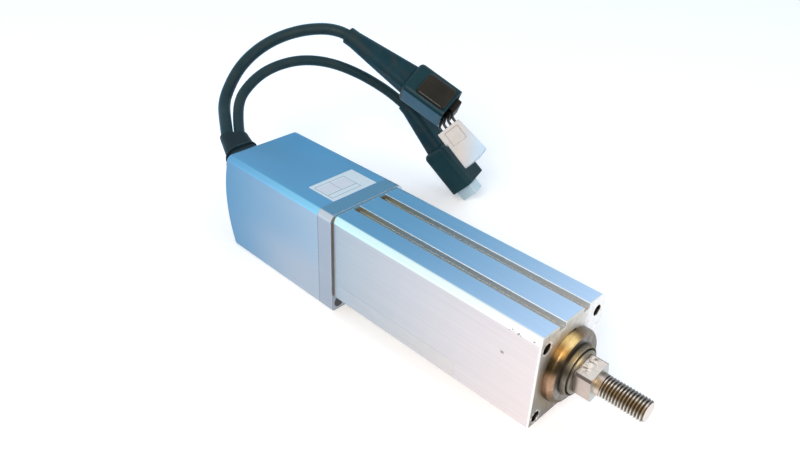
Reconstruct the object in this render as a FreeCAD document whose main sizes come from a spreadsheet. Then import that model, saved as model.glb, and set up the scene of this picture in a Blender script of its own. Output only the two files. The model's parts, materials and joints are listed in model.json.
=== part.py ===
"""Electric rod actuator: a slotted body frame with a sliding rod, a screw drive and a motor housing.

Millimetres, +Z up. The rod's axis is the X axis and the frame's front face is the plane X = 0,
so the origin is the middle of the front face's hole pattern. The rod slides out along +X.
"""
import FreeCAD, Part
import math
import os

import Sketcher

Vector = FreeCAD.Vector
doc = FreeCAD.newDocument("rod_actuator")

# Driving dimensions

DRIVING = [
    # body frame
    ("frame_width", 45.0),
    ("frame_top", 25.0),
    ("frame_bottom", 22.0),
    ("frame_top_radius", 3.5),
    ("frame_foot_radius", 1.2),
    ("slot_spacing", 17.0),
    ("slot_width", 4.2),
    ("slot_depth", 2.7),
    ("bore_radius", 15.0),
    ("guide_width", 6.0),
    ("guide_depth", 2.4),
    ("front_hole_edge", 5.0),
    ("front_pitch_z", 36.0),
    ("front_hole_radius", 2.6),
    ("front_hole_depth", 16.0),
    # fits
    ("seat_clearance", 0.02),
    ("running_clearance", 0.05),
    ("free_clearance", 0.3),
    # front ring, wiper and bush
    ("ring_radius", 17.0),
    ("ring_height", 4.2),
    ("ring_shoulder", 2.2),
    ("nose_height", 2.7),
    ("nose_wall", 0.5),
    ("nose_chamfer", 0.3),
    ("wiper_wall", 0.7),
    ("wiper_depth", 5.0),
    ("spigot_length", 20.0),
    ("bush_wall", 2.0),
    ("bush_length", 17.0),
    ("bumper_thickness", 1.2),
    ("bumper_wall", 3.0),
    # rod and its end
    ("rod_radius", 10.0),
    ("rod_wall", 3.8),
    ("rod_reach", 7.0),
    ("end_collar", 1.0),
    ("end_shank", 12.0),
    ("square_width", 13.0),
    ("square_length", 7.6),
    ("square_chamfer", 0.9),
    ("square_turn", 12.0),
    ("thread_radius", 5.0),
    ("thread_length", 21.8),
    ("thread_chamfer", 0.8),
    ("stroke", 50.0),
    ("stop_gap", 0.5),
    # screw drive
    ("screw_radius", 5.0),
    ("screw_tip_gap", 5.0),
    ("journal_radius", 4.0),
    ("nut_wall", 5.7),
    ("nut_length", 18.0),
    ("slider_length", 24.0),
    ("holder_lip", 1.0),
    ("holder_lip_radius", 6.6),
    ("bearing_width", 5.0),
    ("bearing_radius", 8.0),
    ("race_wall", 1.0),
    ("retainer_wall", 1.1),
    ("lock_nut_radius", 6.2),
    ("lock_nut_length", 3.0),
    ("coupling_radius", 9.5),
    ("hub_length", 4.4),
    ("disc_length", 5.0),
    ("tongue_width", 4.0),
    ("tongue_inset", 0.95),
    ("tongue_depth", 1.8),
    # motor bracket and cover
    ("gasket_thickness", 1.0),
    ("gasket_inset", 1.3),
    ("bracket_thickness", 9.2),
    ("cover_width", 47.8),
    ("cover_top", 25.4),
    ("cover_bottom", 30.7),
    ("cover_length", 79.9),
    ("cover_edge_radius", 3.5),
    ("cover_foot_radius", 2.2),
    ("cover_crown_radius", 75.0),
    ("cover_rear_radius", 2.0),
    ("cover_wall", 2.4),
    ("cover_end_wall", 10.0),
    ("channel_width", 26.0),
    # motor and encoder
    ("motor_size", 42.0),
    ("motor_corner", 4.0),
    ("bell_length", 9.0),
    ("stator_length", 26.0),
    ("pilot_radius", 11.0),
    ("pilot_length", 2.0),
    ("shaft_radius", 2.5),
    ("rotor_radius", 13.0),
    ("rotor_inset", 2.0),
    ("motor_bearing_radius", 7.0),
    ("motor_bearing_width", 4.0),
    ("motor_bearing_inset", 2.0),
    ("disc_radius", 14.0),
    ("disc_thickness", 1.0),
    ("disc_gap", 4.6),
    ("disc_hub_radius", 5.0),
    ("disc_hub_length", 4.0),
    ("board_size", 40.0),
    ("board_thickness", 1.6),
    ("board_gap", 9.0),
    ("board_hole_radius", 6.0),
    ("sensor_width", 8.0),
    ("sensor_height", 6.0),
    ("sensor_offset", 8.0),
    ("standoff_radius", 2.2),
    # screws
    ("bracket_screw_radius", 2.0),
    ("bracket_head_radius", 3.5),
    ("bracket_head_length", 4.0),
    ("bracket_screw_length", 16.0),
    ("bracket_screw_edge", 4.3),
    ("bracket_pitch_z", 14.0),
    ("motor_screw_radius", 1.5),
    ("motor_head_radius", 2.75),
    ("motor_head_length", 3.0),
    ("motor_screw_length", 12.0),
    ("motor_pitch", 31.0),
    ("cover_screw_length", 16.0),
    ("cover_pitch_y", 38.0),
    ("cover_screw_drop", 26.3),
    ("hole_clearance", 0.2),
    # cable gland, cables and connectors
    ("gland_y", -8.5),
    ("gland_z", 15.5),
    ("gland_width", 24.0),
    ("gland_height", 12.5),
    ("gland_flange", 3.6),
    ("gland_seat_depth", 3.4),
    ("gland_neck_width", 19.0),
    ("gland_neck_height", 8.5),
    ("gland_start_width", 20.0),
    ("gland_start_height", 10.4),
    ("gland_end_width", 15.6),
    ("gland_end_height", 8.6),
    ("thick_radius", 3.5),
    ("thin_radius", 3.05),
    ("motor_boot_length", 46.5),
    ("motor_boot_bore", 13.0),
    ("encoder_boot_length", 34.0),
    ("encoder_boot_bore", 6.5),
    ("boot_lip", 1.8),
    ("boot_flare", 0.9),
    ("boot_inset", 4.5),
    ("boot_radius", 3.5),
    ("boot_collar", 5.0),
    ("hood_length", 30.0),
    ("hood_width", 22.3),
    ("hood_height", 16.5),
    ("hood_radius", 3.2),
    ("hood_rear_radius", 3.0),
    ("hood_wall", 1.6),
    ("mouth_depth", 18.0),
    ("mouth_radius", 1.4),
    ("panel_length", 20.0),
    ("panel_width", 16.2),
    ("panel_aside", 0.9),
    ("panel_margin", 1.5),
    ("panel_radius", 2.0),
    ("panel_depth", 0.5),
    ("seated_plug_width", 10.0),
    ("seated_plug_height", 12.0),
    ("seated_plug_length", 20.0),
    ("seated_plug_aside", 4.4),
    ("seated_plug_rise", 0.9),
    ("seated_plug_radius", 1.2),
    ("seated_plug_reach", 7.0),
    ("loose_plug_width", 14.0),
    ("loose_plug_flare", 2.5),
    ("loose_plug_height", 11.0),
    ("loose_plug_length", 25.0),
    ("loose_plug_sweep", 1.6),
    ("loose_plug_wing", 1.0),
    ("loose_plug_wing_length", 8.0),
    ("latch_length", 9.0),
    ("latch_width", 9.0),
    ("latch_depth", 0.8),
    ("latch_inset", 2.0),
    ("wire_radius", 0.8),
    ("wire_spacing", 3.2),
    ("wire_run", 3.0),
]

sheet = doc.addObject("Spreadsheet::Sheet", "sizes")
for row, (alias, number) in enumerate(DRIVING, start=1):
    sheet.set(f"A{row}", alias)
    sheet.set(f"B{row}", str(number))
    sheet.setAlias(f"B{row}", alias)
doc.recompute()


class Size:
    """A length with its number now and the expression that gives it from the sheet."""

    def __init__(self, number, text):
        self.number = number
        self.text = text

    def __add__(self, other):
        other = as_size(other)
        return Size(self.number + other.number, f"({self.text} + {other.text})")

    def __sub__(self, other):
        other = as_size(other)
        return Size(self.number - other.number, f"({self.text} - {other.text})")

    def __mul__(self, other):
        other = as_size(other)
        return Size(self.number * other.number, f"({self.text} * {other.text})")

    def __truediv__(self, other):
        other = as_size(other)
        return Size(self.number / other.number, f"({self.text} / {other.text})")

    def __neg__(self):
        return Size(-self.number, f"(0 - {self.text})")

    def __radd__(self, other):
        return as_size(other) + self

    def __rsub__(self, other):
        return as_size(other) - self

    def __rmul__(self, other):
        return as_size(other) * self


def as_size(item):
    return item if isinstance(item, Size) else Size(float(item), f"{float(item):g}")


class Driving:
    """The sheet's sizes by name."""


size = Driving()
for alias, number in DRIVING:
    setattr(size, alias, Size(float(sheet.get(alias)), f"sizes.{alias}"))

# Tools: sketches, features and placed bodies


def new_body(label):
    body = doc.addObject("PartDesign::Body", label)
    body.Label = label
    return body


def plane_of(body, role):
    return next(item for item in body.Origin.OriginFeatures if item.Role == role)


def new_sketch(body, name, role, offset=0):
    """A sketch on one of the body's own planes, moved along the plane's normal."""
    sketch = body.newObject("Sketcher::SketchObject", name)
    sketch.AttachmentSupport = [(plane_of(body, role), "")]
    sketch.MapMode = "FlatFace"
    offset = as_size(offset)
    sketch.AttachmentOffset = FreeCAD.Placement(Vector(0, 0, offset.number), FreeCAD.Rotation())
    sketch.setExpression("AttachmentOffset.Base.z", offset.text)
    return sketch


def bind(sketch, kind, *where, value):
    """A dimension of the sketch that follows the sheet."""
    value = as_size(value)
    index = sketch.addConstraint(Sketcher.Constraint(kind, *where, value.number))
    sketch.setExpression(f"Constraints[{index}]", value.text)


def fix_point(sketch, edge, end, x, y):
    bind(sketch, "DistanceX", edge, end, value=x)
    bind(sketch, "DistanceY", edge, end, value=y)


def polygon(sketch, corners):
    """A closed outline with every corner held by the sheet."""
    corners = [(as_size(x), as_size(y)) for x, y in corners]
    points = [Vector(x.number, y.number, 0) for x, y in corners]
    first = sketch.GeometryCount
    count = len(points)
    for index, point in enumerate(points):
        sketch.addGeometry(Part.LineSegment(point, points[(index + 1) % count]))
    for index in range(count):
        following = first + (index + 1) % count
        sketch.addConstraint(Sketcher.Constraint("Coincident", first + index, 2, following, 1))
    for index, (x, y) in enumerate(corners):
        fix_point(sketch, first + index, 1, x, y)


def rectangle(sketch, low_x, low_y, high_x, high_y):
    polygon(sketch, [(low_x, low_y), (high_x, low_y), (high_x, high_y), (low_x, high_y)])


def circle(sketch, x, y, radius):
    x, y, radius = as_size(x), as_size(y), as_size(radius)
    edge = sketch.addGeometry(Part.Circle(Vector(x.number, y.number, 0), Vector(0, 0, 1), radius.number))
    fix_point(sketch, edge, 3, x, y)
    bind(sketch, "Radius", edge, value=radius)


def rounded_rectangle(sketch, x, y, width, height, radius):
    """Four sides joined by four tangent corner arcs, about a middle point."""
    x, y, radius = as_size(x), as_size(y), as_size(radius)
    half_x = width / 2 - radius
    half_y = height / 2 - radius
    first = sketch.GeometryCount
    for index, (side_x, side_y) in enumerate([(1, -1), (1, 1), (-1, 1), (-1, -1)]):
        middle = Vector((x + half_x * side_x).number, (y + half_y * side_y).number, 0)
        turned = Part.Circle(middle, Vector(0, 0, 1), radius.number)
        start = math.pi / 2 * (index - 1)
        sketch.addGeometry(Part.ArcOfCircle(turned, start, start + math.pi / 2))
    arcs = [sketch.Geometry[first + index] for index in range(4)]
    for index, arc in enumerate(arcs):
        sketch.addGeometry(Part.LineSegment(arc.EndPoint, arcs[(index + 1) % 4].StartPoint))
    for index, (side_x, side_y) in enumerate([(1, -1), (1, 1), (-1, 1), (-1, -1)]):
        arc = first + index
        line = first + 4 + index
        sketch.addConstraint(Sketcher.Constraint("Tangent", arc, 2, line, 1))
        sketch.addConstraint(Sketcher.Constraint("Tangent", line, 2, first + (index + 1) % 4, 1))
        fix_point(sketch, arc, 3, x + half_x * side_x, y + half_y * side_y)
        bind(sketch, "Radius", arc, value=radius)


def pad(body, sketch, length, name="pad"):
    feature = body.newObject("PartDesign::Pad", name)
    feature.Profile = sketch
    length = as_size(length)
    feature.Length = length.number
    feature.setExpression("Length", length.text)
    doc.recompute()
    return feature


def pocket(body, sketch, length=None, forward=False, name="pocket"):
    """A cut along -X from the sketch, or along +X when forward; through all without a length."""
    before = body.Tip.Shape.Volume
    feature = body.newObject("PartDesign::Pocket", name)
    feature.Profile = sketch
    feature.Reversed = forward
    if length is None:
        feature.Type = "ThroughAll"
    else:
        length = as_size(length)
        feature.Length = length.number
        feature.setExpression("Length", length.text)
    doc.recompute()
    if not feature.Shape.Volume < before - 1e-6:
        raise RuntimeError(f"{body.Label}: {feature.Name} cuts nothing")
    return feature


def revolve(body, sketch, name="turned"):
    feature = body.newObject("PartDesign::Revolution", name)
    feature.Profile = sketch
    feature.ReferenceAxis = (sketch, ["H_Axis"])
    feature.Angle = 360
    doc.recompute()
    return feature


def dress(body, kind, amount, chosen, name):
    """A fillet or chamfer on the edges of the body's tip that chosen picks."""
    base = body.Tip
    names = [f"Edge{i}" for i, edge in enumerate(base.Shape.Edges, start=1) if chosen(edge)]
    if not names:
        raise RuntimeError(f"{body.Label}: no edge for {name}")
    feature = body.newObject(f"PartDesign::{kind}", name)
    feature.Base = (base, names)
    size_name = "Radius" if kind == "Fillet" else "Size"
    setattr(feature, size_name, amount.number)
    feature.setExpression(size_name, amount.text)
    doc.recompute()


def along_x(edge):
    """Whether an edge is a straight one parallel to the rod's axis."""
    if edge.Degenerated or edge.Curve.TypeId != "Part::GeomLine":
        return False
    return abs(edge.tangentAt(edge.FirstParameter).x) > 0.999


def long_edge(level, half):
    """Picks the two edges along the rod's axis at one height on the sides of a block."""
    def chosen(edge):
        middle = edge.CenterOfMass
        at_side = abs(abs(middle.y) - half.number) < 1e-4
        return along_x(edge) and at_side and abs(middle.z - level.number) < 1e-4
    return chosen


def turned(label, profile):
    """A round piece: a profile of (x, radius) corners turned about the rod's axis."""
    body = new_body(label)
    sketch = new_sketch(body, f"{label}_profile", "XZ_Plane")
    polygon(sketch, profile)
    revolve(body, sketch, f"{label}_turned")
    return body


def ring(label, rear, front, inner, outer):
    return turned(label, [(rear, inner), (front, inner), (front, outer), (rear, outer)])


def block(label, rear, length, draw):
    """A piece of one outline, drawn in the plane across the rod's axis and padded along +X."""
    body = new_body(label)
    sketch = new_sketch(body, f"{label}_outline", "YZ_Plane", rear)
    draw(sketch)
    pad(body, sketch, length, f"{label}_pad")
    return body


def cut(body, place, draw, length=None, forward=False):
    count = len(body.Group)
    sketch = new_sketch(body, f"{body.Label}_cut_{count}", "YZ_Plane", place)
    draw(sketch)
    return pocket(body, sketch, length, forward, f"{body.Label}_pocket_{count}")


def four_circles(pitch_y, pitch_z, radius):
    def draw(sketch):
        for side_y in (-1, 1):
            for side_z in (-1, 1):
                circle(sketch, pitch_y / 2 * side_y, pitch_z / 2 * side_z, radius)
    return draw


def cover_screw_circles(radius):
    def draw(sketch):
        for side in (-1, 1):
            circle(sketch, size.cover_pitch_y / 2 * side, -size.cover_screw_drop, radius)
    return draw


def one_circle(radius):
    return lambda sketch: circle(sketch, 0, 0, radius)


def screws(label, places, under_head, direction, radius, length, head_radius, head_length):
    """A group of socket screws along X; direction is +1 where the shank points to +X."""
    made = []
    for index, (y, z) in enumerate(places):
        pieces = []
        for part, part_radius, part_length, ahead in (
            ("shank", radius, length, direction > 0),
            ("head", head_radius, head_length, direction < 0),
        ):
            item = doc.addObject("Part::Cylinder", f"{label}_{part}_{index}")
            start = under_head if ahead else under_head - part_length
            item.Placement = FreeCAD.Placement(Vector(), FreeCAD.Rotation(Vector(0, 1, 0), 90))
            item.setExpression("Radius", part_radius.text)
            item.setExpression("Height", part_length.text)
            for axis, value in (("x", start), ("y", y), ("z", z)):
                item.setExpression(f"Placement.Base.{axis}", as_size(value).text)
            pieces.append(item)
        screw = doc.addObject("Part::Fuse", f"{label}_{index}")
        screw.Base, screw.Tool = pieces
        made.append(screw)
    group = doc.addObject("Part::Compound", label)
    group.Label = label
    group.Links = made
    doc.recompute()
    return group


def corner_places(pitch_y, pitch_z):
    return [(pitch_y / 2 * a, pitch_z / 2 * b) for a in (-1, 1) for b in (-1, 1)]


# Stations along the rod's axis, from the front to the rear

ring_front = size.ring_height
nose_front = size.ring_height + size.nose_height
spigot_rear = -size.spigot_length
front_bumper_rear = spigot_rear - size.bumper_thickness
slider_front = front_bumper_rear - size.stroke - size.stop_gap
slider_rear = slider_front - size.slider_length
nut_front = slider_rear + size.nut_length
rear_bumper_front = slider_rear - size.stop_gap
holder_front = rear_bumper_front - size.bumper_thickness
bearings_front = holder_front - size.holder_lip
bearings_rear = bearings_front - size.bearing_width * 2
holder_rear = bearings_rear - size.retainer_wall
lock_nut_rear = bearings_rear - size.lock_nut_length
screw_hub_front = lock_nut_rear - size.stop_gap
screw_hub_rear = screw_hub_front - size.hub_length
disc_front = screw_hub_rear - size.running_clearance * 2
disc_rear = disc_front - size.disc_length
motor_hub_front = disc_rear - size.running_clearance * 2
motor_hub_rear = motor_hub_front - size.hub_length
bracket_rear = motor_hub_rear - size.stop_gap - size.pilot_length
bracket_front = bracket_rear + size.bracket_thickness
frame_rear = bracket_front + size.gasket_thickness
cover_rear = bracket_rear - size.cover_length
front_bell_rear = bracket_rear - size.bell_length
stator_rear = front_bell_rear - size.stator_length
motor_rear = stator_rear - size.bell_length
encoder_disc_front = motor_rear - size.disc_gap
board_front = motor_rear - size.board_gap
front_pitch_y = size.frame_width - size.front_hole_edge * 2
bracket_pitch_y = size.frame_width - size.bracket_screw_edge * 2
nose_radius = size.rod_radius + size.free_clearance + size.wiper_wall + size.nose_wall
wiper_radius = nose_radius - size.nose_wall
bush_radius = size.rod_radius + size.running_clearance + size.bush_wall
nut_radius = size.screw_radius + size.free_clearance + size.nut_wall
rod_bore = size.rod_radius - size.rod_wall
cover_height = size.cover_top + size.cover_bottom
cover_middle = (size.cover_top - size.cover_bottom) / 2


# Body frame: an extrusion with two grooves on top, a bore with a guide groove, and tapped corner holes


def frame_outline(sketch):
    half = size.frame_width / 2
    top = size.frame_top
    corners = [(-half, -size.frame_bottom), (half, -size.frame_bottom), (half, top)]
    for side in (1, -1):
        middle = size.slot_spacing / 2 * side
        mouth = size.slot_width / 2
        floor = top - size.slot_depth
        right = middle + mouth
        left = middle - mouth
        corners += [(right, top), (right, floor), (left, floor), (left, top)]
    corners.append((-half, top))
    polygon(sketch, corners)


def guide_groove(sketch):
    half = size.guide_width / 2
    rectangle(sketch, -half, 0, half, size.bore_radius + size.guide_depth)


frame = block("body_frame", frame_rear, -frame_rear, frame_outline)

frame_half = size.frame_width / 2
dress(frame, "Fillet", size.frame_top_radius, long_edge(size.frame_top, frame_half), "frame_top_edges")
dress(frame, "Fillet", size.frame_foot_radius, long_edge(-size.frame_bottom, frame_half), "frame_foot_edges")
cut(frame, 0, one_circle(size.bore_radius))
cut(frame, 0, guide_groove)
cut(frame, 0, four_circles(front_pitch_y, size.front_pitch_z, size.front_hole_radius), size.front_hole_depth)
bracket_tap_depth = size.bracket_screw_length - (size.bracket_thickness - size.bracket_head_length)
cut(
    frame,
    frame_rear,
    four_circles(bracket_pitch_y, size.bracket_pitch_z, size.bracket_screw_radius + size.running_clearance),
    bracket_tap_depth,
    forward=True,
)

# Front ring: a round flange with a rounded rim, a nose for the wiper and a spigot for the bush

bush_front = spigot_rear + size.bush_length
wiper_rear = nose_front - size.wiper_depth
front_ring = turned("front_ring", [
    (spigot_rear, bush_radius + size.seat_clearance),
    (bush_front, bush_radius + size.seat_clearance),
    (bush_front, size.rod_radius + size.free_clearance),
    (wiper_rear, size.rod_radius + size.free_clearance),
    (wiper_rear, wiper_radius + size.seat_clearance),
    (nose_front, wiper_radius + size.seat_clearance),
    (nose_front, nose_radius - size.nose_chamfer),
    (nose_front - size.nose_chamfer, nose_radius),
    (ring_front, nose_radius),
    (ring_front, size.ring_radius),
    (0, size.ring_radius),
    (0, size.bore_radius - size.seat_clearance),
    (spigot_rear, size.bore_radius - size.seat_clearance),
])


def ring_rim(edge):
    """Whether an edge is the outer rim of the ring's front face."""
    corner = edge.Vertexes[0].Point
    at_front = abs(corner.x - ring_front.number) < 1e-4
    return at_front and abs(math.hypot(corner.y, corner.z) - size.ring_radius.number) < 1e-4


dress(front_ring, "Fillet", size.ring_shoulder, ring_rim, "ring_shoulder_edge")
turned("wiper_seal", [
    (wiper_rear, size.rod_radius + size.free_clearance),
    (nose_front - size.wiper_wall, size.rod_radius + size.free_clearance),
    (nose_front, size.rod_radius + size.free_clearance + size.wiper_wall / 2),
    (nose_front, wiper_radius),
    (wiper_rear, wiper_radius),
])
ring("rod_bush", spigot_rear, bush_front, size.rod_radius + size.running_clearance, bush_radius)
ring(
    "front_bumper",
    front_bumper_rear,
    spigot_rear,
    size.rod_radius + size.free_clearance,
    size.rod_radius + size.free_clearance + size.bumper_wall,
)

# Rod: a hollow tube that carries the end piece in front and the slider behind

ring("rod_tube", nut_front, size.rod_reach, rod_bore, size.rod_radius)
square_rear = size.rod_reach + size.end_collar
square_front = square_rear + size.square_length
thread_front = square_front + size.thread_length
rod_end = turned("rod_end", [
    (size.rod_reach - size.end_shank, 0),
    (thread_front, 0),
    (thread_front, size.thread_radius - size.thread_chamfer),
    (thread_front - size.thread_chamfer, size.thread_radius),
    (square_rear, size.thread_radius),
    (square_rear, size.rod_radius - size.end_collar / 2),
    (size.rod_reach + size.end_collar / 2, size.rod_radius),
    (size.rod_reach, size.rod_radius),
    (size.rod_reach, rod_bore - size.seat_clearance),
    (size.rod_reach - size.end_shank, rod_bore - size.seat_clearance),
])
square_sketch = new_sketch(rod_end, "wrench_square", "YZ_Plane", square_rear)
square_half = size.square_width / 2
rectangle(square_sketch, -square_half, -square_half, square_half, square_half)
square_sketch.setExpression("AttachmentOffset.Rotation.Angle", size.square_turn.text)
square_sketch.AttachmentOffset = FreeCAD.Placement(
    Vector(0, 0, square_rear.number), FreeCAD.Rotation(Vector(0, 0, 1), size.square_turn.number))
pad(rod_end, square_sketch, size.square_length, "wrench_square_pad")


def square_corner(edge):
    middle = edge.CenterOfMass
    reach = math.hypot(middle.y, middle.z)
    return along_x(edge) and abs(reach - square_half.number * math.sqrt(2)) < 1e-3


dress(rod_end, "Chamfer", size.square_chamfer, square_corner, "wrench_square_corners")

# Slider and ball nut: the nut is seated in the slider, whose key runs in the frame's guide groove

slider_radius = size.bore_radius - size.free_clearance
slider = turned("nut_slider", [
    (slider_rear, nut_radius + size.seat_clearance),
    (nut_front, nut_radius + size.seat_clearance),
    (nut_front, size.rod_radius + size.seat_clearance),
    (slider_front, size.rod_radius + size.seat_clearance),
    (slider_front, slider_radius),
    (slider_rear, slider_radius),
])
key_sketch = new_sketch(slider, "key_outline", "YZ_Plane", slider_rear)
key_half = size.guide_width / 2 - size.free_clearance
key_top = size.bore_radius + size.guide_depth - size.free_clearance
rectangle(key_sketch, -key_half, nut_radius + size.nut_wall / 4, key_half, key_top)
pad(slider, key_sketch, size.slider_length, "guide_key")
ring("ball_nut", slider_rear, nut_front, size.screw_radius + size.free_clearance, nut_radius)

# Screw and its bearings

screw_tip = size.rod_reach - size.end_shank - size.screw_tip_gap
turned("ball_screw", [
    (screw_hub_rear, 0),
    (screw_tip, 0),
    (screw_tip, size.journal_radius),
    (screw_tip - size.holder_lip, size.screw_radius),
    (bearings_front, size.screw_radius),
    (bearings_front, size.journal_radius),
    (screw_hub_rear, size.journal_radius),
])
ring(
    "rear_bumper",
    holder_front,
    rear_bumper_front,
    size.holder_lip_radius,
    size.holder_lip_radius + size.bumper_wall * 2,
)
turned("bearing_holder", [
    (holder_rear, size.bearing_radius + size.seat_clearance),
    (bearings_front, size.bearing_radius + size.seat_clearance),
    (bearings_front, size.holder_lip_radius),
    (holder_front, size.holder_lip_radius),
    (holder_front, size.bore_radius - size.seat_clearance),
    (holder_rear, size.bore_radius - size.seat_clearance),
])
race_inner = size.journal_radius + size.seat_clearance
race_low = race_inner + size.race_wall
race_high = size.bearing_radius - size.race_wall
for index, bearing in enumerate(("front_bearing", "rear_bearing")):
    front = bearings_front - size.bearing_width * index
    rear = front - size.bearing_width
    ring(f"{bearing}_outer", rear, front, race_high, size.bearing_radius)
    ring(f"{bearing}_inner", rear, front, race_inner, race_low)
    cage_gap = size.free_clearance
    ring(f"{bearing}_cage", rear + cage_gap, front - cage_gap, race_low + cage_gap, race_high - cage_gap)
retainer_inner = size.bearing_radius - size.retainer_wall
ring("bearing_retainer", holder_rear, bearings_rear, retainer_inner, size.bearing_radius)
ring("lock_nut", lock_nut_rear, bearings_rear, race_inner, size.lock_nut_radius)

# Coupling: two hubs with crossed tongues, and a middle disc with a slot for each


def tongue(sketch, across_z, spare):
    half_width = size.tongue_width / 2 + spare
    half_length = size.coupling_radius - size.tongue_inset + spare
    if across_z:
        rectangle(sketch, -half_width, -half_length, half_width, half_length)
    else:
        rectangle(sketch, -half_length, -half_width, half_length, half_width)


screw_hub = ring("coupling_screw_hub", screw_hub_rear, screw_hub_front, race_inner, size.coupling_radius)
hub_sketch = new_sketch(screw_hub, "screw_tongue", "YZ_Plane", screw_hub_rear - size.tongue_depth)
tongue(hub_sketch, True, as_size(0))
pad(screw_hub, hub_sketch, size.tongue_depth, "screw_tongue_pad")
disc_body = new_body("coupling_disc")
disc_sketch = new_sketch(disc_body, "disc_outline", "YZ_Plane", disc_rear)
circle(disc_sketch, 0, 0, size.coupling_radius)
pad(disc_body, disc_sketch, size.disc_length, "disc_pad")
slot_depth = size.tongue_depth + size.running_clearance
tongue_room = size.running_clearance
cut(disc_body, disc_front, lambda sketch: tongue(sketch, True, tongue_room), slot_depth)
cut(disc_body, disc_rear, lambda sketch: tongue(sketch, False, tongue_room), slot_depth, forward=True)
shaft_seat = size.shaft_radius + size.seat_clearance
motor_hub = ring("coupling_motor_hub", motor_hub_rear, motor_hub_front, shaft_seat, size.coupling_radius)
hub_sketch = new_sketch(motor_hub, "motor_tongue", "YZ_Plane", motor_hub_front)
tongue(hub_sketch, False, as_size(0))
pad(motor_hub, hub_sketch, size.tongue_depth, "motor_tongue_pad")

# Motor bracket, its gasket and the cover


def housing_outline(sketch):
    half = size.cover_width / 2
    rectangle(sketch, -half, -size.cover_bottom, half, size.cover_top)


def housing_block(label, rear, length):
    body = block(label, rear, length, housing_outline)
    half = size.cover_width / 2
    dress(body, "Fillet", size.cover_edge_radius, long_edge(size.cover_top, half), f"{label}_top_edges")
    dress(body, "Fillet", size.cover_foot_radius, long_edge(-size.cover_bottom, half), f"{label}_foot_edges")
    return body


def gasket_outline(sketch):
    middle = (size.frame_top - size.frame_bottom) / 2
    width = size.frame_width - size.gasket_inset * 2
    height = size.frame_top + size.frame_bottom - size.gasket_inset * 2
    rounded_rectangle(sketch, 0, middle, width, height, size.frame_top_radius - size.gasket_inset)


bracket_clear = size.bracket_screw_radius + size.hole_clearance
motor_clear = size.motor_screw_radius + size.hole_clearance
gasket = block("frame_gasket", bracket_front, size.gasket_thickness, gasket_outline)
cut(gasket, frame_rear, one_circle(size.bore_radius))
cut(gasket, frame_rear, four_circles(bracket_pitch_y, size.bracket_pitch_z, bracket_clear))
bracket = housing_block("motor_bracket", bracket_rear, size.bracket_thickness)
cut(bracket, bracket_front, one_circle(size.pilot_radius + size.seat_clearance))
cut(bracket, bracket_front, four_circles(bracket_pitch_y, size.bracket_pitch_z, bracket_clear))
cut(
    bracket,
    bracket_rear,
    four_circles(bracket_pitch_y, size.bracket_pitch_z, size.bracket_head_radius + size.hole_clearance),
    size.bracket_head_length,
    forward=True,
)
motor_head_clear = size.motor_head_radius + size.hole_clearance
motor_holes = four_circles(size.motor_pitch, size.motor_pitch, motor_clear)
motor_head_holes = four_circles(size.motor_pitch, size.motor_pitch, motor_head_clear)
cut(bracket, bracket_front, motor_holes)
cut(bracket, bracket_front, motor_head_holes, size.motor_head_length)
cut(bracket, bracket_front, cover_screw_circles(motor_clear))
cut(bracket, bracket_front, cover_screw_circles(motor_head_clear), size.motor_head_length)

cover = housing_block("motor_cover", cover_rear, size.cover_length)
crown = new_sketch(cover, "crown_cut", "XZ_Plane", size.cover_width)
crown_middle = cover_rear + size.cover_crown_radius
crown_top = size.cover_top + size.cover_wall
crown_low = -size.cover_bottom - size.cover_wall
behind = cover_rear - size.cover_wall
crown_circle = Part.Circle(
    Vector(crown_middle.number, cover_middle.number, 0), Vector(0, 0, 1), size.cover_crown_radius.number)
crown_angle = math.asin((cover_height / 2 + size.cover_wall).number / size.cover_crown_radius.number)
arc = crown.addGeometry(Part.ArcOfCircle(crown_circle, math.pi - crown_angle, math.pi + crown_angle))
corners = [
    crown.Geometry[arc].EndPoint,
    Vector(behind.number, crown_low.number, 0),
    Vector(behind.number, crown_top.number, 0),
    crown.Geometry[arc].StartPoint,
]
low_line, rear_line, top_line = [
    crown.addGeometry(Part.LineSegment(first, second)) for first, second in zip(corners, corners[1:])]
for edge, following in ((arc, low_line), (low_line, rear_line), (rear_line, top_line), (top_line, arc)):
    crown.addConstraint(Sketcher.Constraint("Coincident", edge, 2, following, 1))
crown.addConstraint(Sketcher.Constraint("Horizontal", low_line))
crown.addConstraint(Sketcher.Constraint("Horizontal", top_line))
fix_point(crown, arc, 3, crown_middle, cover_middle)
bind(crown, "Radius", arc, value=size.cover_crown_radius)
fix_point(crown, rear_line, 1, behind, crown_low)
fix_point(crown, rear_line, 2, behind, crown_top)
pocket(cover, crown, size.cover_width * 2, name="crown_pocket")


def rear_rim(edge):
    """Whether an edge bounds the crowned rear face."""
    reach = cover_rear.number + size.cover_end_wall.number
    return not along_x(edge) and all(vertex.Point.x < reach for vertex in edge.Vertexes)


dress(cover, "Fillet", size.cover_rear_radius, rear_rim, "cover_rear_edges")
pocket_depth = size.cover_length - size.cover_end_wall
motor_room = size.motor_size / 2 + size.free_clearance


def motor_pocket(sketch):
    rectangle(sketch, -motor_room, -motor_room, motor_room, size.cover_top - size.cover_wall)


def channel_pocket(sketch):
    half = size.channel_width / 2
    rectangle(sketch, -half, size.cover_wall - size.cover_bottom, half, 0)


cut(cover, bracket_rear, motor_pocket, pocket_depth)
cut(cover, bracket_rear, channel_pocket, pocket_depth)
cover_tap_depth = size.cover_screw_length - (size.bracket_thickness - size.motor_head_length)
cover_tap_radius = size.motor_screw_radius + size.running_clearance
cut(cover, bracket_rear, cover_screw_circles(cover_tap_radius), cover_tap_depth)


def oval(width, height):
    """An upright oval about the gland's place: straight sides with nearly half-round ends."""
    end_radius = height / 2 - size.running_clearance

    def draw(sketch):
        rounded_rectangle(sketch, size.gland_y, size.gland_z, width, height, end_radius)
    return draw


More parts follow.
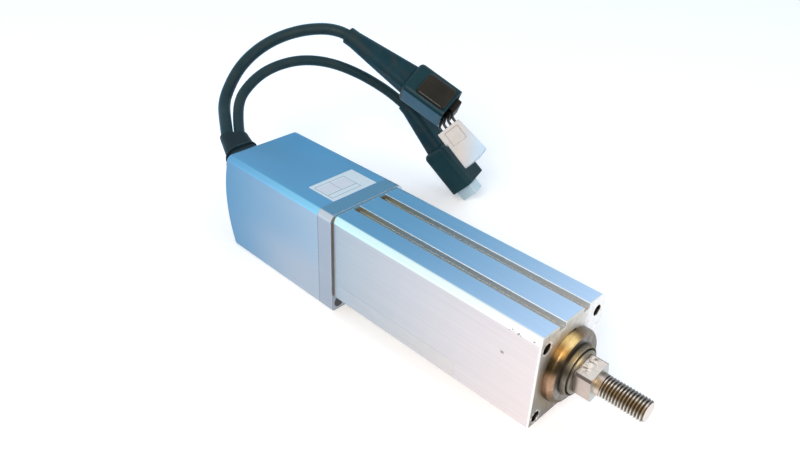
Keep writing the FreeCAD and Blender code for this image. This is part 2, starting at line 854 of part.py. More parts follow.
gland_seat = cover_rear + size.gland_seat_depth + size.cover_wall
spare = size.seat_clearance * 2
flange_room = oval(size.gland_width + spare, size.gland_height + spare)
neck_room = oval(size.gland_neck_width + spare, size.gland_neck_height + spare)
cut(cover, cover_rear, flange_room, gland_seat - cover_rear, forward=True)
cut(cover, cover_rear, neck_room, size.cover_end_wall, forward=True)

# Motor and encoder


def motor_outline(sketch):
    rounded_rectangle(sketch, 0, 0, size.motor_size, size.motor_size, size.motor_corner)


shaft_room = size.shaft_radius + size.free_clearance
front_bell = block("motor_front_bell", front_bell_rear, size.bell_length, motor_outline)
pilot_sketch = new_sketch(front_bell, "pilot_outline", "YZ_Plane", bracket_rear)
circle(pilot_sketch, 0, 0, size.pilot_radius)
pad(front_bell, pilot_sketch, size.pilot_length, "pilot_pad")
cut(front_bell, bracket_rear + size.pilot_length, one_circle(shaft_room))
front_seat = front_bell_rear + size.motor_bearing_inset
bearing_seat = size.motor_bearing_radius + size.seat_clearance
bearing_room = size.motor_bearing_inset + size.motor_bearing_width
cut(front_bell, front_bell_rear, one_circle(bearing_seat), bearing_room, forward=True)
motor_tap_depth = size.motor_screw_length - (size.bracket_thickness - size.motor_head_length)
cut(
    front_bell,
    bracket_rear,
    four_circles(size.motor_pitch, size.motor_pitch, size.motor_screw_radius + size.running_clearance),
    motor_tap_depth,
)
stator = block("motor_stator", stator_rear, size.stator_length, motor_outline)
cut(stator, front_bell_rear, one_circle(size.rotor_radius + size.free_clearance))
rear_bell = block("motor_rear_bell", motor_rear, size.bell_length, motor_outline)
cut(rear_bell, stator_rear, one_circle(shaft_room))
cut(rear_bell, stator_rear, one_circle(bearing_seat), bearing_room)
shaft_rear = encoder_disc_front - size.disc_hub_length
ring("motor_shaft", shaft_rear, motor_hub_front, 0, size.shaft_radius)
ring(
    "motor_rotor",
    stator_rear + size.rotor_inset,
    front_bell_rear - size.rotor_inset,
    size.shaft_radius + size.seat_clearance,
    size.rotor_radius,
)
motor_bearing_inner = size.shaft_radius + size.running_clearance
rear_seat = stator_rear - size.motor_bearing_inset - size.motor_bearing_width
for label, place in (("motor_front_bearing", front_seat), ("motor_rear_bearing", rear_seat)):
    ring(label, place, place + size.motor_bearing_width, motor_bearing_inner, size.motor_bearing_radius)
turned("encoder_disc", [
    (shaft_rear, size.shaft_radius + size.seat_clearance),
    (encoder_disc_front, size.shaft_radius + size.seat_clearance),
    (encoder_disc_front, size.disc_radius),
    (encoder_disc_front - size.disc_thickness, size.disc_radius),
    (encoder_disc_front - size.disc_thickness, size.disc_hub_radius),
    (shaft_rear, size.disc_hub_radius),
])


def board_outline(sketch):
    rounded_rectangle(sketch, 0, 0, size.board_size, size.board_size, size.motor_corner)
    circle(sketch, 0, 0, size.board_hole_radius)


def sensor_outline(sketch):
    half = size.sensor_width / 2
    rectangle(sketch, -half, size.sensor_offset, half, size.sensor_offset + size.sensor_height)


block("encoder_board", board_front - size.board_thickness, size.board_thickness, board_outline)
sensor_length = encoder_disc_front - size.disc_thickness - size.free_clearance - board_front
block("encoder_sensor", board_front, sensor_length, sensor_outline)
standoffs = []
for index, (y, z) in enumerate(corner_places(size.motor_pitch, size.motor_pitch)):
    post = doc.addObject("Part::Cylinder", f"encoder_standoff_{index}")
    post.Placement = FreeCAD.Placement(Vector(), FreeCAD.Rotation(Vector(0, 1, 0), 90))
    post.setExpression("Radius", size.standoff_radius.text)
    post.setExpression("Height", size.board_gap.text)
    for axis, value in (("x", board_front), ("y", y), ("z", z)):
        post.setExpression(f"Placement.Base.{axis}", value.text)
    standoffs.append(post)
standoff_group = doc.addObject("Part::Compound", "encoder_standoffs")
standoff_group.Label = "encoder_standoffs"
standoff_group.Links = standoffs

# Screws: bracket to frame, motor to bracket, cover to bracket

screws(
    "bracket_screws",
    corner_places(bracket_pitch_y, size.bracket_pitch_z),
    bracket_rear + size.bracket_head_length,
    1,
    size.bracket_screw_radius,
    size.bracket_screw_length,
    size.bracket_head_radius,
    size.bracket_head_length,
)
screws(
    "motor_screws",
    corner_places(size.motor_pitch, size.motor_pitch),
    bracket_front - size.motor_head_length,
    -1,
    size.motor_screw_radius,
    size.motor_screw_length,
    size.motor_head_radius,
    size.motor_head_length,
)
screws(
    "cover_screws",
    [(size.cover_pitch_y / 2 * side, -size.cover_screw_drop) for side in (-1, 1)],
    bracket_front - size.motor_head_length,
    -1,
    size.motor_screw_radius,
    size.cover_screw_length,
    size.motor_head_radius,
    size.motor_head_length,
)

# Cables: two stiff leads that arch up from the gland and come down behind the actuator

THICK_ROUTE = [
    (-227.73366, -6.547, 21.596),
    (-235.74366, -2.097, 25.601),
    (-248.9, 8.1, 31.5),
    (-255.3, 16.2, 38.5),
    (-258.5, 26.0, 46.0),
    (-258.5, 36.5, 53.0),
    (-255.5, 47.5, 58.8),
    (-250.0, 58.0, 63.0),
    (-242.5, 68.0, 65.4),
    (-233.4, 76.4, 65.3),
    (-223.33, 81.92, 62.5),
    (-213.28, 85.45, 57.33),
]
THIN_ROUTE = [
    (-224.44, -0.55, 21.52),
    (-231.55, 3.4, 25.075),
    (-240.5, 13.5, 34.5),
    (-244.0, 23.0, 40.5),
    (-244.0, 33.5, 45.5),
    (-241.0, 44.5, 48.8),
    (-235.5, 55.5, 50.0),
    (-228.6, 67.4, 48.1),
    (-220.6, 78.4, 43.75),
    (-210.8, 90.0, 38.1),
    (-198.7, 100.23, 27.46),
    (-189.84, 103.41, 18.45),
]
BEND_SHARE = 0.45


def route_wire(points):
    """Straight runs joined by tangent arcs, with each arc as large as its two runs allow."""
    places = [Vector(*point) for point in points]
    edges = []
    start = places[0]
    for before, corner, after in zip(places, places[1:], places[2:]):
        back = (before - corner).normalize()
        ahead = (after - corner).normalize()
        half_turn = (math.pi - back.getAngle(ahead)) / 2
        reach = BEND_SHARE * min((before - corner).Length, (after - corner).Length)
        radius = reach / math.tan(half_turn)
        enter = corner + back * reach
        leave = corner + ahead * reach
        inward = (back + ahead).normalize()
        middle = corner + inward * (radius / math.cos(half_turn) - radius)
        edges.append(Part.LineSegment(start, enter).toShape())
        edges.append(Part.Arc(enter, middle, leave).toShape())
        start = leave
    edges.append(Part.LineSegment(start, places[-1]).toShape())
    return Part.Wire(edges)


def tube_along(points, radius):
    path = route_wire(points)
    heading = Vector(*points[1]) - Vector(*points[0])
    section = Part.Wire(Part.makeCircle(radius, Vector(*points[0]), heading))
    return path.makePipeShell([section], True, False), path.Length


def loose_piece(label, shape):
    item = doc.addObject("Part::Feature", label)
    item.Label = label
    item.Shape = shape


for label, points, radius in (
    ("thick_cable", THICK_ROUTE, size.thick_radius.number),
    ("thin_cable", THIN_ROUTE, size.thin_radius.number),
):
    tube, length = tube_along(points, radius)
    print(label, "length", round(length, 1))
    loose_piece(label, tube)

# Gland: an oval flange in the cover's seat, a neck inside, and a soft boot that leans to the cables

neck_oval = oval(size.gland_neck_width, size.gland_neck_height)
gland = block("cable_gland", gland_seat, cover_rear + size.cover_end_wall - gland_seat, neck_oval)
flange_rear = gland_seat - size.gland_seat_depth - size.gland_flange
flange_sketch = new_sketch(gland, "gland_flange_outline", "YZ_Plane", flange_rear)
oval(size.gland_width, size.gland_height)(flange_sketch)
pad(gland, flange_sketch, gland_seat - flange_rear, "gland_flange_pad")
exit_heading = (Vector(*THICK_ROUTE[1]) - Vector(*THICK_ROUTE[0])).normalize()
exit_across = exit_heading.cross(Vector(0, 0, 1)).normalize()
exit_up = exit_across.cross(exit_heading)
exit_middle = (Vector(*THICK_ROUTE[0]) + Vector(*THIN_ROUTE[0])) / 2
boot_start = new_sketch(gland, "gland_boot_start", "YZ_Plane", flange_rear)
oval(size.gland_start_width, size.gland_start_height)(boot_start)
boot_end = gland.newObject("Sketcher::SketchObject", "gland_boot_end")
end_radius = size.gland_end_height / 2 - size.running_clearance
rounded_rectangle(boot_end, 0, 0, size.gland_end_width, size.gland_end_height, end_radius)
boot_end.Placement = FreeCAD.Placement(
    exit_middle, FreeCAD.Rotation(exit_across * -1, exit_up, exit_heading * -1, "ZXY"))
loft = gland.newObject("PartDesign::AdditiveLoft", "gland_boot")
loft.Profile = boot_start
loft.Sections = [boot_end]
doc.recompute()

# Connectors: each is a boot, a hood and a plug along the last run of its cable


def frame_at(point, heading, roll=0.0):
    """A placement whose X axis is the heading and whose Y axis lies level before the roll."""
    across = Vector(0, 0, 1).cross(heading).normalize()
    level = FreeCAD.Rotation(heading, across, heading.cross(across), "XZY")
    return FreeCAD.Placement(point, level.multiply(FreeCAD.Rotation(Vector(1, 0, 0), roll)))


def connector_boot(label, cable_radius, length, bore_depth, where):
    """A tapered boot with a collar round the cable, in a frame whose origin is the cable's end."""
    start = -bore_depth
    body = new_body(label)
    outer = (cable_radius + size.boot_lip) * 2
    corner = outer / 2 - size.running_clearance
    collar = new_sketch(body, f"{label}_collar", "YZ_Plane", start)
    rounded_rectangle(collar, 0, 0, outer, outer, corner)
    pad(body, collar, size.boot_collar, f"{label}_collar_pad")
    small = new_sketch(body, f"{label}_small", "YZ_Plane", start + size.boot_collar)
    rounded_rectangle(small, 0, 0, outer, outer, corner)
    large = new_sketch(body, f"{label}_large", "YZ_Plane", start + length)
    width = size.hood_width - size.boot_inset
    height = size.hood_height - size.boot_inset
    rounded_rectangle(large, 0, 0, width, height, size.boot_radius)
    taper = body.newObject("PartDesign::AdditiveLoft", f"{label}_taper")
    taper.Profile = small
    taper.Sections = [large]
    doc.recompute()
    mouth = new_sketch(body, f"{label}_mouth", "YZ_Plane", start)
    circle(mouth, 0, 0, cable_radius + size.running_clearance * 3)
    pocket(body, mouth, bore_depth, True, f"{label}_bore")
    flare = new_sketch(body, f"{label}_flare", "YZ_Plane", start)
    circle(flare, 0, 0, cable_radius + size.boot_flare)
    pocket(body, flare, bore_depth / 2, True, f"{label}_flare_cut")
    body.Placement = where


def connector_hood(label, start, mouth_outline):
    """A box with a rounded rear end and a mouth in front; start is its distance from the cable's end."""
    body = new_body(label)
    outline = new_sketch(body, f"{label}_outline", "YZ_Plane", start)
    rounded_rectangle(outline, 0, 0, size.hood_width, size.hood_height, size.hood_radius)
    pad(body, outline, size.hood_length, f"{label}_pad")

    def rear_edge(edge):
        return all(abs(vertex.Point.x - start.number) < 1e-4 for vertex in edge.Vertexes)

    dress(body, "Fillet", size.hood_rear_radius, rear_edge, f"{label}_rear_edges")
    mouth = new_sketch(body, f"{label}_mouth", "YZ_Plane", start + size.hood_length)
    mouth_outline(mouth)
    pocket(body, mouth, size.mouth_depth, False, f"{label}_mouth_pocket")
    return body


def open_mouth(sketch):
    width = size.hood_width - size.hood_wall * 2
    height = size.hood_height - size.hood_wall * 2
    rounded_rectangle(sketch, 0, 0, width, height, size.mouth_radius)


def seated_plug_outline(spare):
    def draw(sketch):
        rounded_rectangle(
            sketch,
            -size.seated_plug_aside,
            size.seated_plug_rise,
            size.seated_plug_width + spare * 2,
            size.seated_plug_height + spare * 2,
            size.seated_plug_radius,
        )
    return draw


def heading_of(points):
    return (Vector(*points[-1]) - Vector(*points[-2])).normalize()


MOTOR_HOOD_ROLL = 28.5
ENCODER_HOOD_ROLL = 3.4
motor_frame = frame_at(Vector(*THICK_ROUTE[-1]), heading_of(THICK_ROUTE), MOTOR_HOOD_ROLL)
motor_hood_start = size.motor_boot_length - size.motor_boot_bore
motor_mouth = motor_hood_start + size.hood_length
connector_boot(
    "motor_connector_boot", size.thick_radius, size.motor_boot_length, size.motor_boot_bore, motor_frame)
motor_hood = connector_hood("motor_connector_hood", motor_hood_start, open_mouth)
panel = new_sketch(motor_hood, "panel_outline", "XY_Plane", size.hood_height / 2)
panel_middle = motor_mouth - size.panel_margin - size.panel_length / 2
rounded_rectangle(
    panel, panel_middle, -size.panel_aside, size.panel_length, size.panel_width, size.panel_radius)
pocket(motor_hood, panel, size.panel_depth, name="panel_recess")
motor_hood.Placement = motor_frame
encoder_frame = frame_at(Vector(*THIN_ROUTE[-1]), heading_of(THIN_ROUTE), ENCODER_HOOD_ROLL)
encoder_hood_start = size.encoder_boot_length - size.encoder_boot_bore
encoder_mouth = encoder_hood_start + size.hood_length
connector_boot(
    "encoder_connector_boot",
    size.thin_radius,
    size.encoder_boot_length,
    size.encoder_boot_bore,
    encoder_frame,
)
encoder_hood = connector_hood(
    "encoder_connector_hood", encoder_hood_start, seated_plug_outline(size.seat_clearance))
encoder_hood.Placement = encoder_frame
encoder_plug = block(
    "encoder_plug",
    encoder_mouth + size.seated_plug_reach - size.seated_plug_length,
    size.seated_plug_length,
    seated_plug_outline(as_size(0)),
)
encoder_plug.Placement = encoder_frame

# Loose plug: a flat block, wider at its swept front, with a wing on one side and a latch recess on top

LOOSE_PLUG_PLACE = Vector(-150.57, 94.63, 24.01)
LOOSE_PLUG_HEADING = Vector(0.7642, 0.1173, -0.6342).normalize()
LOOSE_PLUG_ROLL = 51.46
loose_plug_frame = frame_at(LOOSE_PLUG_PLACE, LOOSE_PLUG_HEADING, LOOSE_PLUG_ROLL)
loose_plug = new_body("motor_plug")
plug_sketch = new_sketch(loose_plug, "motor_plug_outline", "XY_Plane", -size.loose_plug_height / 2)
plug_half = size.loose_plug_width / 2
polygon(plug_sketch, [
    (0, -plug_half - size.loose_plug_wing),
    (size.loose_plug_wing_length, -plug_half - size.loose_plug_wing),
    (size.loose_plug_wing_length, -plug_half),
    (size.loose_plug_length, -plug_half),
    (size.loose_plug_length, plug_half / 2),
    (size.loose_plug_length - size.loose_plug_sweep, plug_half + size.loose_plug_flare),
    (0, plug_half),
])
pad(loose_plug, plug_sketch, size.loose_plug_height, "motor_plug_pad")
latch = new_sketch(loose_plug, "latch_outline", "XY_Plane", size.loose_plug_height / 2)
latch_half = size.latch_width / 2
rectangle(latch, size.latch_inset, -latch_half, size.latch_inset + size.latch_length, latch_half)
pocket(loose_plug, latch, size.latch_depth, name="latch_recess")
loose_plug.Placement = loose_plug_frame

# Wires from the open hood to its plug

wires = []
mouth_front = motor_mouth.number
mouth_floor = mouth_front - size.mouth_depth.number
wire_drop = size.loose_plug_height.number / 4
for index in (-1.5, -0.5, 0.5, 1.5):
    aside = size.wire_spacing.number * index
    points = [
        motor_frame.multVec(Vector(mouth_floor, aside, -wire_drop)),
        motor_frame.multVec(Vector(mouth_front, aside, -wire_drop)),
        loose_plug_frame.multVec(Vector(-size.wire_run.number, aside, wire_drop)),
        loose_plug_frame.multVec(Vector(0, aside, wire_drop)),
    ]
    wires.append(tube_along(points, size.wire_radius.number)[0])
loose_piece("motor_plug_wires", Part.makeCompound(wires))

# Every object is checked before anything is written

doc.recompute()
sub_parts = [item for item in doc.Objects if item.TypeId == "PartDesign::Body"]
sub_parts += [item for item in doc.Objects if item.TypeId in ("Part::Compound", "Part::Feature")]
for item in doc.Objects:
    if "Invalid" in item.State or "Error" in item.State:
        raise RuntimeError(f"{item.Label} failed: {item.State}")
for item in sub_parts:
    if item.Shape.isNull() or not item.Shape.isValid():
        raise RuntimeError(f"{item.Label} has no valid shape")

os.makedirs("parts", exist_ok=True)
for item in sub_parts:
    item.Shape.exportStep(f"parts/{item.Label}.step")
print(len(sub_parts), "pieces written")
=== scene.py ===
# %% [markdown]
# # An electric rod actuator
# The object is a slotted aluminium body with a sliding rod, a motor housing behind it and two short
# cables with connectors. The packed model is loaded as a fixed frame in metres. Every piece made
# here sits in that frame, so nothing has to be placed by eye.

# %% Load the frame
import json
import math

import bmesh
import bpy
from mathutils import Matrix, Vector

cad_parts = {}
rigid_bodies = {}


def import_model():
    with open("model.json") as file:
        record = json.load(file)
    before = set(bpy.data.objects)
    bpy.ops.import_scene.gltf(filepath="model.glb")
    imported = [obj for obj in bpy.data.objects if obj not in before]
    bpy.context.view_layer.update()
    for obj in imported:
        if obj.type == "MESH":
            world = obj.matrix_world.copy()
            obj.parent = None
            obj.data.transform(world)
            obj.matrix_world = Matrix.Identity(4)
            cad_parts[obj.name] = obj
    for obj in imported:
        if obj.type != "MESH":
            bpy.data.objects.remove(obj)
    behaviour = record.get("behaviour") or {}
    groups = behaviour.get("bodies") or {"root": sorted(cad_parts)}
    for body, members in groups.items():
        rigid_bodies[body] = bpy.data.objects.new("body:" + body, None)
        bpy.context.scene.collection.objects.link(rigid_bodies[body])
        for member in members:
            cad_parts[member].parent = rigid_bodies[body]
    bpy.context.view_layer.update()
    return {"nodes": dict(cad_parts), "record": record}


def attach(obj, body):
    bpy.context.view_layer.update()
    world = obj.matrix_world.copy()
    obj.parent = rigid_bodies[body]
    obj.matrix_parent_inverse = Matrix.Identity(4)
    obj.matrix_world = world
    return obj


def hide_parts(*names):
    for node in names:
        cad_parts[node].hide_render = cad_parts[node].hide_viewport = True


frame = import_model()
scene = bpy.context.scene
scene.view_settings.view_transform = "Standard"
print("nodes in the frame:", len(frame["nodes"]))

# %% [markdown]
# ## Camera
# A camera's pose can be guessed by hand, but a photograph of a box gives it exactly: the long edges,
# the front face and the thread fix the eye and the three directions. They are written here as the
# rows of a turn: to the right, up, and back towards the eye.

# %% Camera
EYE = Vector((0.109811, -0.217070, 0.209799))
TO_RIGHT = Vector((0.7087309, 0.7046613, 0.0339560))
UPWARD = Vector((-0.3957539, 0.3572722, 0.8460115))
BACKWARD = Vector((0.5840200, -0.6130327, 0.5320823))
FOCAL_PIXELS = 755.118
PHOTO_WIDTH = 800
SENSOR_WIDTH = 36.0

camera_data = bpy.data.cameras.new("camera")
camera_data.sensor_fit = "HORIZONTAL"
camera_data.sensor_width = SENSOR_WIDTH
camera_data.lens = FOCAL_PIXELS / PHOTO_WIDTH * SENSOR_WIDTH
camera_data.clip_start = 0.01
camera = bpy.data.objects.new("camera", camera_data)
turn = Matrix((TO_RIGHT, UPWARD, BACKWARD)).transposed()
camera.matrix_world = Matrix.Translation(EYE) @ turn.to_4x4()
scene.collection.objects.link(camera)
scene.camera = camera
print("lens in millimetres:", round(camera_data.lens, 2))

# %% [markdown]
# ## Fields
# A finish is a sum of many small nodes, and adding and linking each one by hand soon hides the idea.
# The class below wraps one output of a node. Fields are added and multiplied like numbers, and every
# sum adds its node and links it. A mask is a field from 0 to 1, and it mixes two colours.

# %% Fields
# A Mix node has a set of sockets for each kind of data; these are the places of those for colours.
MIX_AMOUNT = 0
MIX_FIRST = 6
MIX_SECOND = 7
MIX_RESULT = 2


def set_inputs(node, values):
    """Give a node's inputs a constant, a colour or a field."""
    for key, value in values.items():
        socket = node.inputs[key]
        if isinstance(value, Field):
            node.id_data.links.new(value.socket, socket)
        elif socket.type == "RGBA":
            socket.default_value = (*value, 1.0)
        else:
            socket.default_value = value


def make(tree, kind, values, output=0, **settings):
    """Add a node with its settings and inputs, and hand back one of its outputs as a field."""
    node = tree.nodes.new(kind)
    for key, value in settings.items():
        setattr(node, key, value)
    set_inputs(node, values)
    return Field(node.outputs[output])


class Field:
    """A value that changes from place to place: one output of a node."""

    def __init__(self, socket):
        self.socket = socket
        self.tree = socket.id_data

    def math(self, operation, other=0.0):
        return make(self.tree, "ShaderNodeMath", {0: self, 1: other}, operation=operation)

    def __add__(self, other):
        return self.math("ADD", other)

    def __sub__(self, other):
        return self.math("SUBTRACT", other)

    def __mul__(self, other):
        return self.math("MULTIPLY", other)

    def __truediv__(self, other):
        return self.math("DIVIDE", other)

    def __abs__(self):
        return self.math("ABSOLUTE")

    def either(self, other):
        return self.math("MAXIMUM", other)

    def spread(self, low, high, to_low=0.0, to_high=1.0, smooth=True):
        """The value brought from one range to another; a smooth step unless asked otherwise."""
        values = {"Value": self, "From Min": low, "From Max": high, "To Min": to_low, "To Max": to_high}
        kind = "SMOOTHSTEP" if smooth else "LINEAR"
        return make(self.tree, "ShaderNodeMapRange", values, interpolation_type=kind)

    def fade(self, low, high):
        """1 below low, 0 above high."""
        return self.spread(low, high, 1.0, 0.0)

    def window(self, low, high, soft):
        """1 between low and high, 0 outside, with soft sides."""
        return self.spread(low - soft, low + soft) * self.fade(high - soft, high + soft)

    def noisy(self, low=0.0, high=1.0):
        """A noise brought to a range, such as a roughness from 0.3 to 0.4."""
        return self.spread(0.3, 0.7, low, high, smooth=False)

    def mix(self, first, second, mode="MIX"):
        """The first colour where this mask is 0, the second where it is 1."""
        values = {MIX_AMOUNT: self, MIX_FIRST: first, MIX_SECOND: second}
        return make(self.tree, "ShaderNodeMix", values, MIX_RESULT, data_type="RGBA", blend_type=mode)

    def shade(self, colour, tone):
        """A colour darkened by a tone where this mask says."""
        return self.mix(colour, tone, "MULTIPLY")

    def dot(self, heading):
        values = {0: self, 1: heading}
        return make(self.tree, "ShaderNodeVectorMath", values, "Value", operation="DOT_PRODUCT")

    def parts(self):
        """The x, y and z of a place."""
        split = self.tree.nodes.new("ShaderNodeSeparateXYZ")
        set_inputs(split, {0: self})
        return [Field(socket) for socket in split.outputs]


print("fields can:", [name for name in vars(Field) if not name.startswith("_")])

# %% [markdown]
# ## Floor
# The object stands on white paper. A flat, very pale and very dull floor is enough: it takes the soft
# shadow, and the satin side of the metal mirrors it. A little glow that only the camera and mirror
# rays see keeps the paper white where the lamps fade, and adds no light to the object.

# %% Floor
FLOOR_LEVEL = -0.0307
FLOOR_REACH = 3.0
FLOOR_GLOW = 0.25
PAPER = (0.93, 0.93, 0.93)
WARM_WHITE = (1.0, 0.96, 0.92)


def new_material(name):
    material = bpy.data.materials.new(name)
    material.use_nodes = True
    return material, material.node_tree


def dress(material, values):
    """Set the inputs of a material's shader."""
    set_inputs(material.node_tree.nodes["Principled BSDF"], values)
    return material


def background_rays(tree):
    """1 for rays that show the background: to the camera, off a mirror or through glass."""
    path = tree.nodes.new("ShaderNodeLightPath")
    kinds = ("Is Camera Ray", "Is Glossy Ray", "Is Transmission Ray")
    seen, mirrored, through = [Field(path.outputs[kind]) for kind in kinds]
    return seen.either(mirrored).either(through)


def make_floor():
    mesh = bpy.data.meshes.new("floor")
    signs = ((-1, -1), (1, -1), (1, 1), (-1, 1))
    corners = [(x * FLOOR_REACH, y * FLOOR_REACH, FLOOR_LEVEL) for x, y in signs]
    mesh.from_pydata(corners, [], [(0, 1, 2, 3)])
    floor = bpy.data.objects.new("floor", mesh)
    scene.collection.objects.link(floor)
    material, tree = new_material("floor_paper")
    dress(material, {
        "Base Color": PAPER, "Roughness": 0.9, "Specular IOR Level": 0.1,
        "Emission Color": WARM_WHITE, "Emission Strength": background_rays(tree) * FLOOR_GLOW})
    mesh.materials.append(material)


make_floor()
print("floor at", FLOOR_LEVEL)

# %% [markdown]
# ## Surround and lamps
# The surround is white wherever the camera looks past the object, and metal mirrors the same white, so
# each metal renders in about the colour that is written for it. What the surround casts on rough
# surfaces is softer: plain light that is paler towards the horizon, a blue patch of sky behind the
# object and a bright wall on the left. A warm key lamp balances the blue, so the floor stays neutral.

# %% Surround and lamps
SKY_TURN = (0.837, 0.325, 0.442)
SKY_SIDE = (-0.62, 0.70, 0.35)
HORIZON = (0.85, 0.85, 0.85)
OVERHEAD = (0.42, 0.42, 0.42)
BRIGHT_WALL = (1.38, 1.46, 1.52)
DEEP_SKY = (0.07, 0.30, 0.58)
PALE_SKY = (0.85, 1.02, 1.22)
WHITE = (1.0, 1.0, 1.0)


def make_surround():
    world = bpy.data.worlds.new("surround")
    scene.world = world
    world.use_nodes = True
    tree = world.node_tree
    view = make(tree, "ShaderNodeTexCoord", {}, "Generated")

    def towards(heading, low, high):
        """0 away from a heading, 1 near it."""
        return view.dot(heading).spread(low, high)

    wall = towards((-1, 0, 0), 0.20, 0.45) * towards((0, -1, 0), -0.30, 0.10)
    plain = wall.mix(towards((0, 0, 1), 0.05, 0.6).mix(HORIZON, OVERHEAD), BRIGHT_WALL)
    blue = towards(SKY_TURN, -0.34, 0.40).mix(DEEP_SKY, PALE_SKY)
    light = towards(SKY_SIDE, 0.05, 0.55).mix(plain, blue)
    set_inputs(tree.nodes["Background"], {"Color": background_rays(tree).mix(light, WHITE)})


def make_lamp(name, place, aim, width, watts, colour):
    lamp = bpy.data.lights.new(name, "AREA")
    lamp.shape = "DISK"
    lamp.size = width
    lamp.energy = watts
    lamp.color = colour
    item = bpy.data.objects.new(name, lamp)
    heading = Vector(aim) - Vector(place)
    item.matrix_world = Matrix.Translation(place) @ heading.to_track_quat("-Z", "Y").to_matrix().to_4x4()
    scene.collection.objects.link(item)


make_surround()
make_lamp("key_lamp", (0.35, -1.05, 0.85), (-0.08, 0.0, 0.0), 0.7, 12.6, (1.0, 0.89, 0.76))
make_lamp("front_lamp", (1.0, 0.10, 0.55), (0.0, 0.0, 0.0), 0.35, 2.0, (1.0, 0.90, 0.78))
print("lamps:", len(bpy.data.lights))

# %% [markdown]
# ## Helpers for finishes
# Every finish starts from one shader. The helpers below add what real surfaces have: a place to read
# the pattern from, a noise stretched along one direction for drawn or brushed metal, and layers of
# paint that each keep to their mask, as a stain keeps to its place.

# %% Helpers for finishes


def object_place(tree):
    return make(tree, "ShaderNodeTexCoord", {}, "Object")


def along(tree, heading, middle=(0.0, 0.0, 0.0)):
    """The distance of a place from a middle point, measured along a heading."""
    values = {0: object_place(tree), 1: middle}
    return make(tree, "ShaderNodeVectorMath", values, operation="SUBTRACT").dot(heading)


def noise(tree, scale, stretch=(1, 1, 1), detail=3.0, rough=0.55):
    """A noise on Object coordinates; stretch shrinks the pattern along each axis."""
    place = make(tree, "ShaderNodeMapping", {"Vector": object_place(tree), "Scale": stretch})
    values = {"Vector": place, "Scale": scale, "Detail": detail, "Roughness": rough}
    return make(tree, "ShaderNodeTexNoise", values, "Fac")


def bump(height, strength, distance):
    return make(height.tree, "ShaderNodeBump", {"Height": height, "Strength": strength, "Distance": distance})


def distance_from_axis(y, z):
    return (y * y + z * z).math("SQRT")


def painted(colour, *layers):
    """Layers of paint, one over the other, each where its mask says."""
    for mask, paint in layers:
        colour = mask.mix(colour, paint)
    return colour


print("helpers ready")

# %% [markdown]
# ## Masks of the body
# The body's stains, scratches and painted highlights are masks on the place in the object, so they stay
# there from every side. The grooves, the corner holes and the highlighted groove edges follow the body's
# own sizes.

# %% Masks of the body
FRAME_REAR = -0.118
GROOVE_Y = 0.0085
HOLE_Y = 0.0175
HOLE_Z = 0.018
FAR_EDGES = (-0.0064, 0.0106)


def groove_mask(y, z):
    from_middle = abs(abs(y) - GROOVE_Y)
    return from_middle.fade(0.00212, 0.00222) * z.fade(0.0246, 0.0249) * z.spread(0.0215, 0.0221)


def corner_hole_masks(x, y, z):
    """The holes' insides, and a band round each rim."""
    reach = distance_from_axis(abs(y) - HOLE_Y, abs(z) - HOLE_Z)
    return reach.fade(0.0026, 0.0029) * x.fade(-0.0006, -0.0003), reach.window(0.0025, 0.0035, 0.0002)


def scuff_mask(x, y, z):
    """Short slanting scratches near the front corner and one nick on the near side."""
    band = x.window(-0.017, -0.001, 0.001) * z.window(0.0213, 0.0226, 0.0003)
    chips = noise(x.tree, 1.0, (900, 300, 600), 2.0).spread(0.56, 0.64)
    nick = x.window(-0.0176, -0.0160, 0.0003) * z.window(0.0081, 0.0093, 0.0003)
    return y.fade(-0.0224, -0.0220) * (band * chips).either(nick * 0.8)


def groove_edge_highlights(x, y, z):
    """A painted highlight along the far edge of each groove, stronger towards the front."""
    near, far = [(y - edge).window(0.0, 0.00042, 0.0001) for edge in FAR_EDGES]
    return near.either(far) * z.spread(0.0247, 0.0249) * x.spread(FRAME_REAR, -0.02, 0.35, 1.0)


print("rear end of the body:", FRAME_REAR)

# %% [markdown]
# ## Drawn aluminium of the body
# The body is a drawn extrusion, so its fine lines run along it. Its top and side get lit copies of one
# colour: a painted reflection of the sky makes the top bluer, changing slowly from a cool rear to a pale
# front, more on the top than on the side, and a painted highlight runs along the rounded top edge, the
# front corner and the far edge of each groove. The cut front face is bare and stained, and darker low
# down and round the ring; the grooves hold brown dirt at the rear and painted shade on their floors,
# and the front corner of the side is scuffed.

# %% Drawn aluminium
# Top and side colours: the blue top and the rear-to-front change are a painted reflection of the sky.
TOP_REAR = (0.104, 0.32, 0.55)
TOP_FRONT = (0.49, 0.70, 0.97)
SIDE_REAR = (0.405, 0.486, 0.565)
SIDE_FRONT = (0.77, 0.695, 0.70)
# The rounded top edge is a painted highlight, near white at the front.
EDGE_HIGHLIGHT_REAR = (0.62, 0.95, 0.99)
EDGE_HIGHLIGHT_FRONT = (0.98, 0.97, 0.93)
LINE_TONE = (0.82, 0.84, 0.87)
GROOVE_WALL_REAR = (0.32, 0.47, 0.60)
GROOVE_WALL_FRONT = (0.80, 0.82, 0.83)
DIRT_BROWN = (0.56, 0.50, 0.34)
GROOVE_FLOOR_SHADE = (0.21, 0.205, 0.19)
CUT_DARK = (0.40, 0.39, 0.38)
CUT_PALE = (0.56, 0.54, 0.51)
CUT_LOW = (0.24, 0.24, 0.24)
CUT_HIGH = (0.63, 0.61, 0.57)
CUT_FAR = (0.84, 0.84, 0.85)
CUT_CORNER = (0.13, 0.13, 0.135)
CUT_FLECKS = (0.36, 0.32, 0.26)
RING_DARKENING = (0.25, 0.20, 0.125)
CORNER_HIGHLIGHT = (1.0, 0.97, 0.95)
HOLE_CHIPS_AND_HIGHLIGHT = (0.98, 0.97, 0.95)
HOLE_SHADE = (0.14, 0.12, 0.10)
SCUFF = (0.22, 0.20, 0.20)
GROOVE_EDGE_HIGHLIGHT = (0.93, 0.96, 0.97)


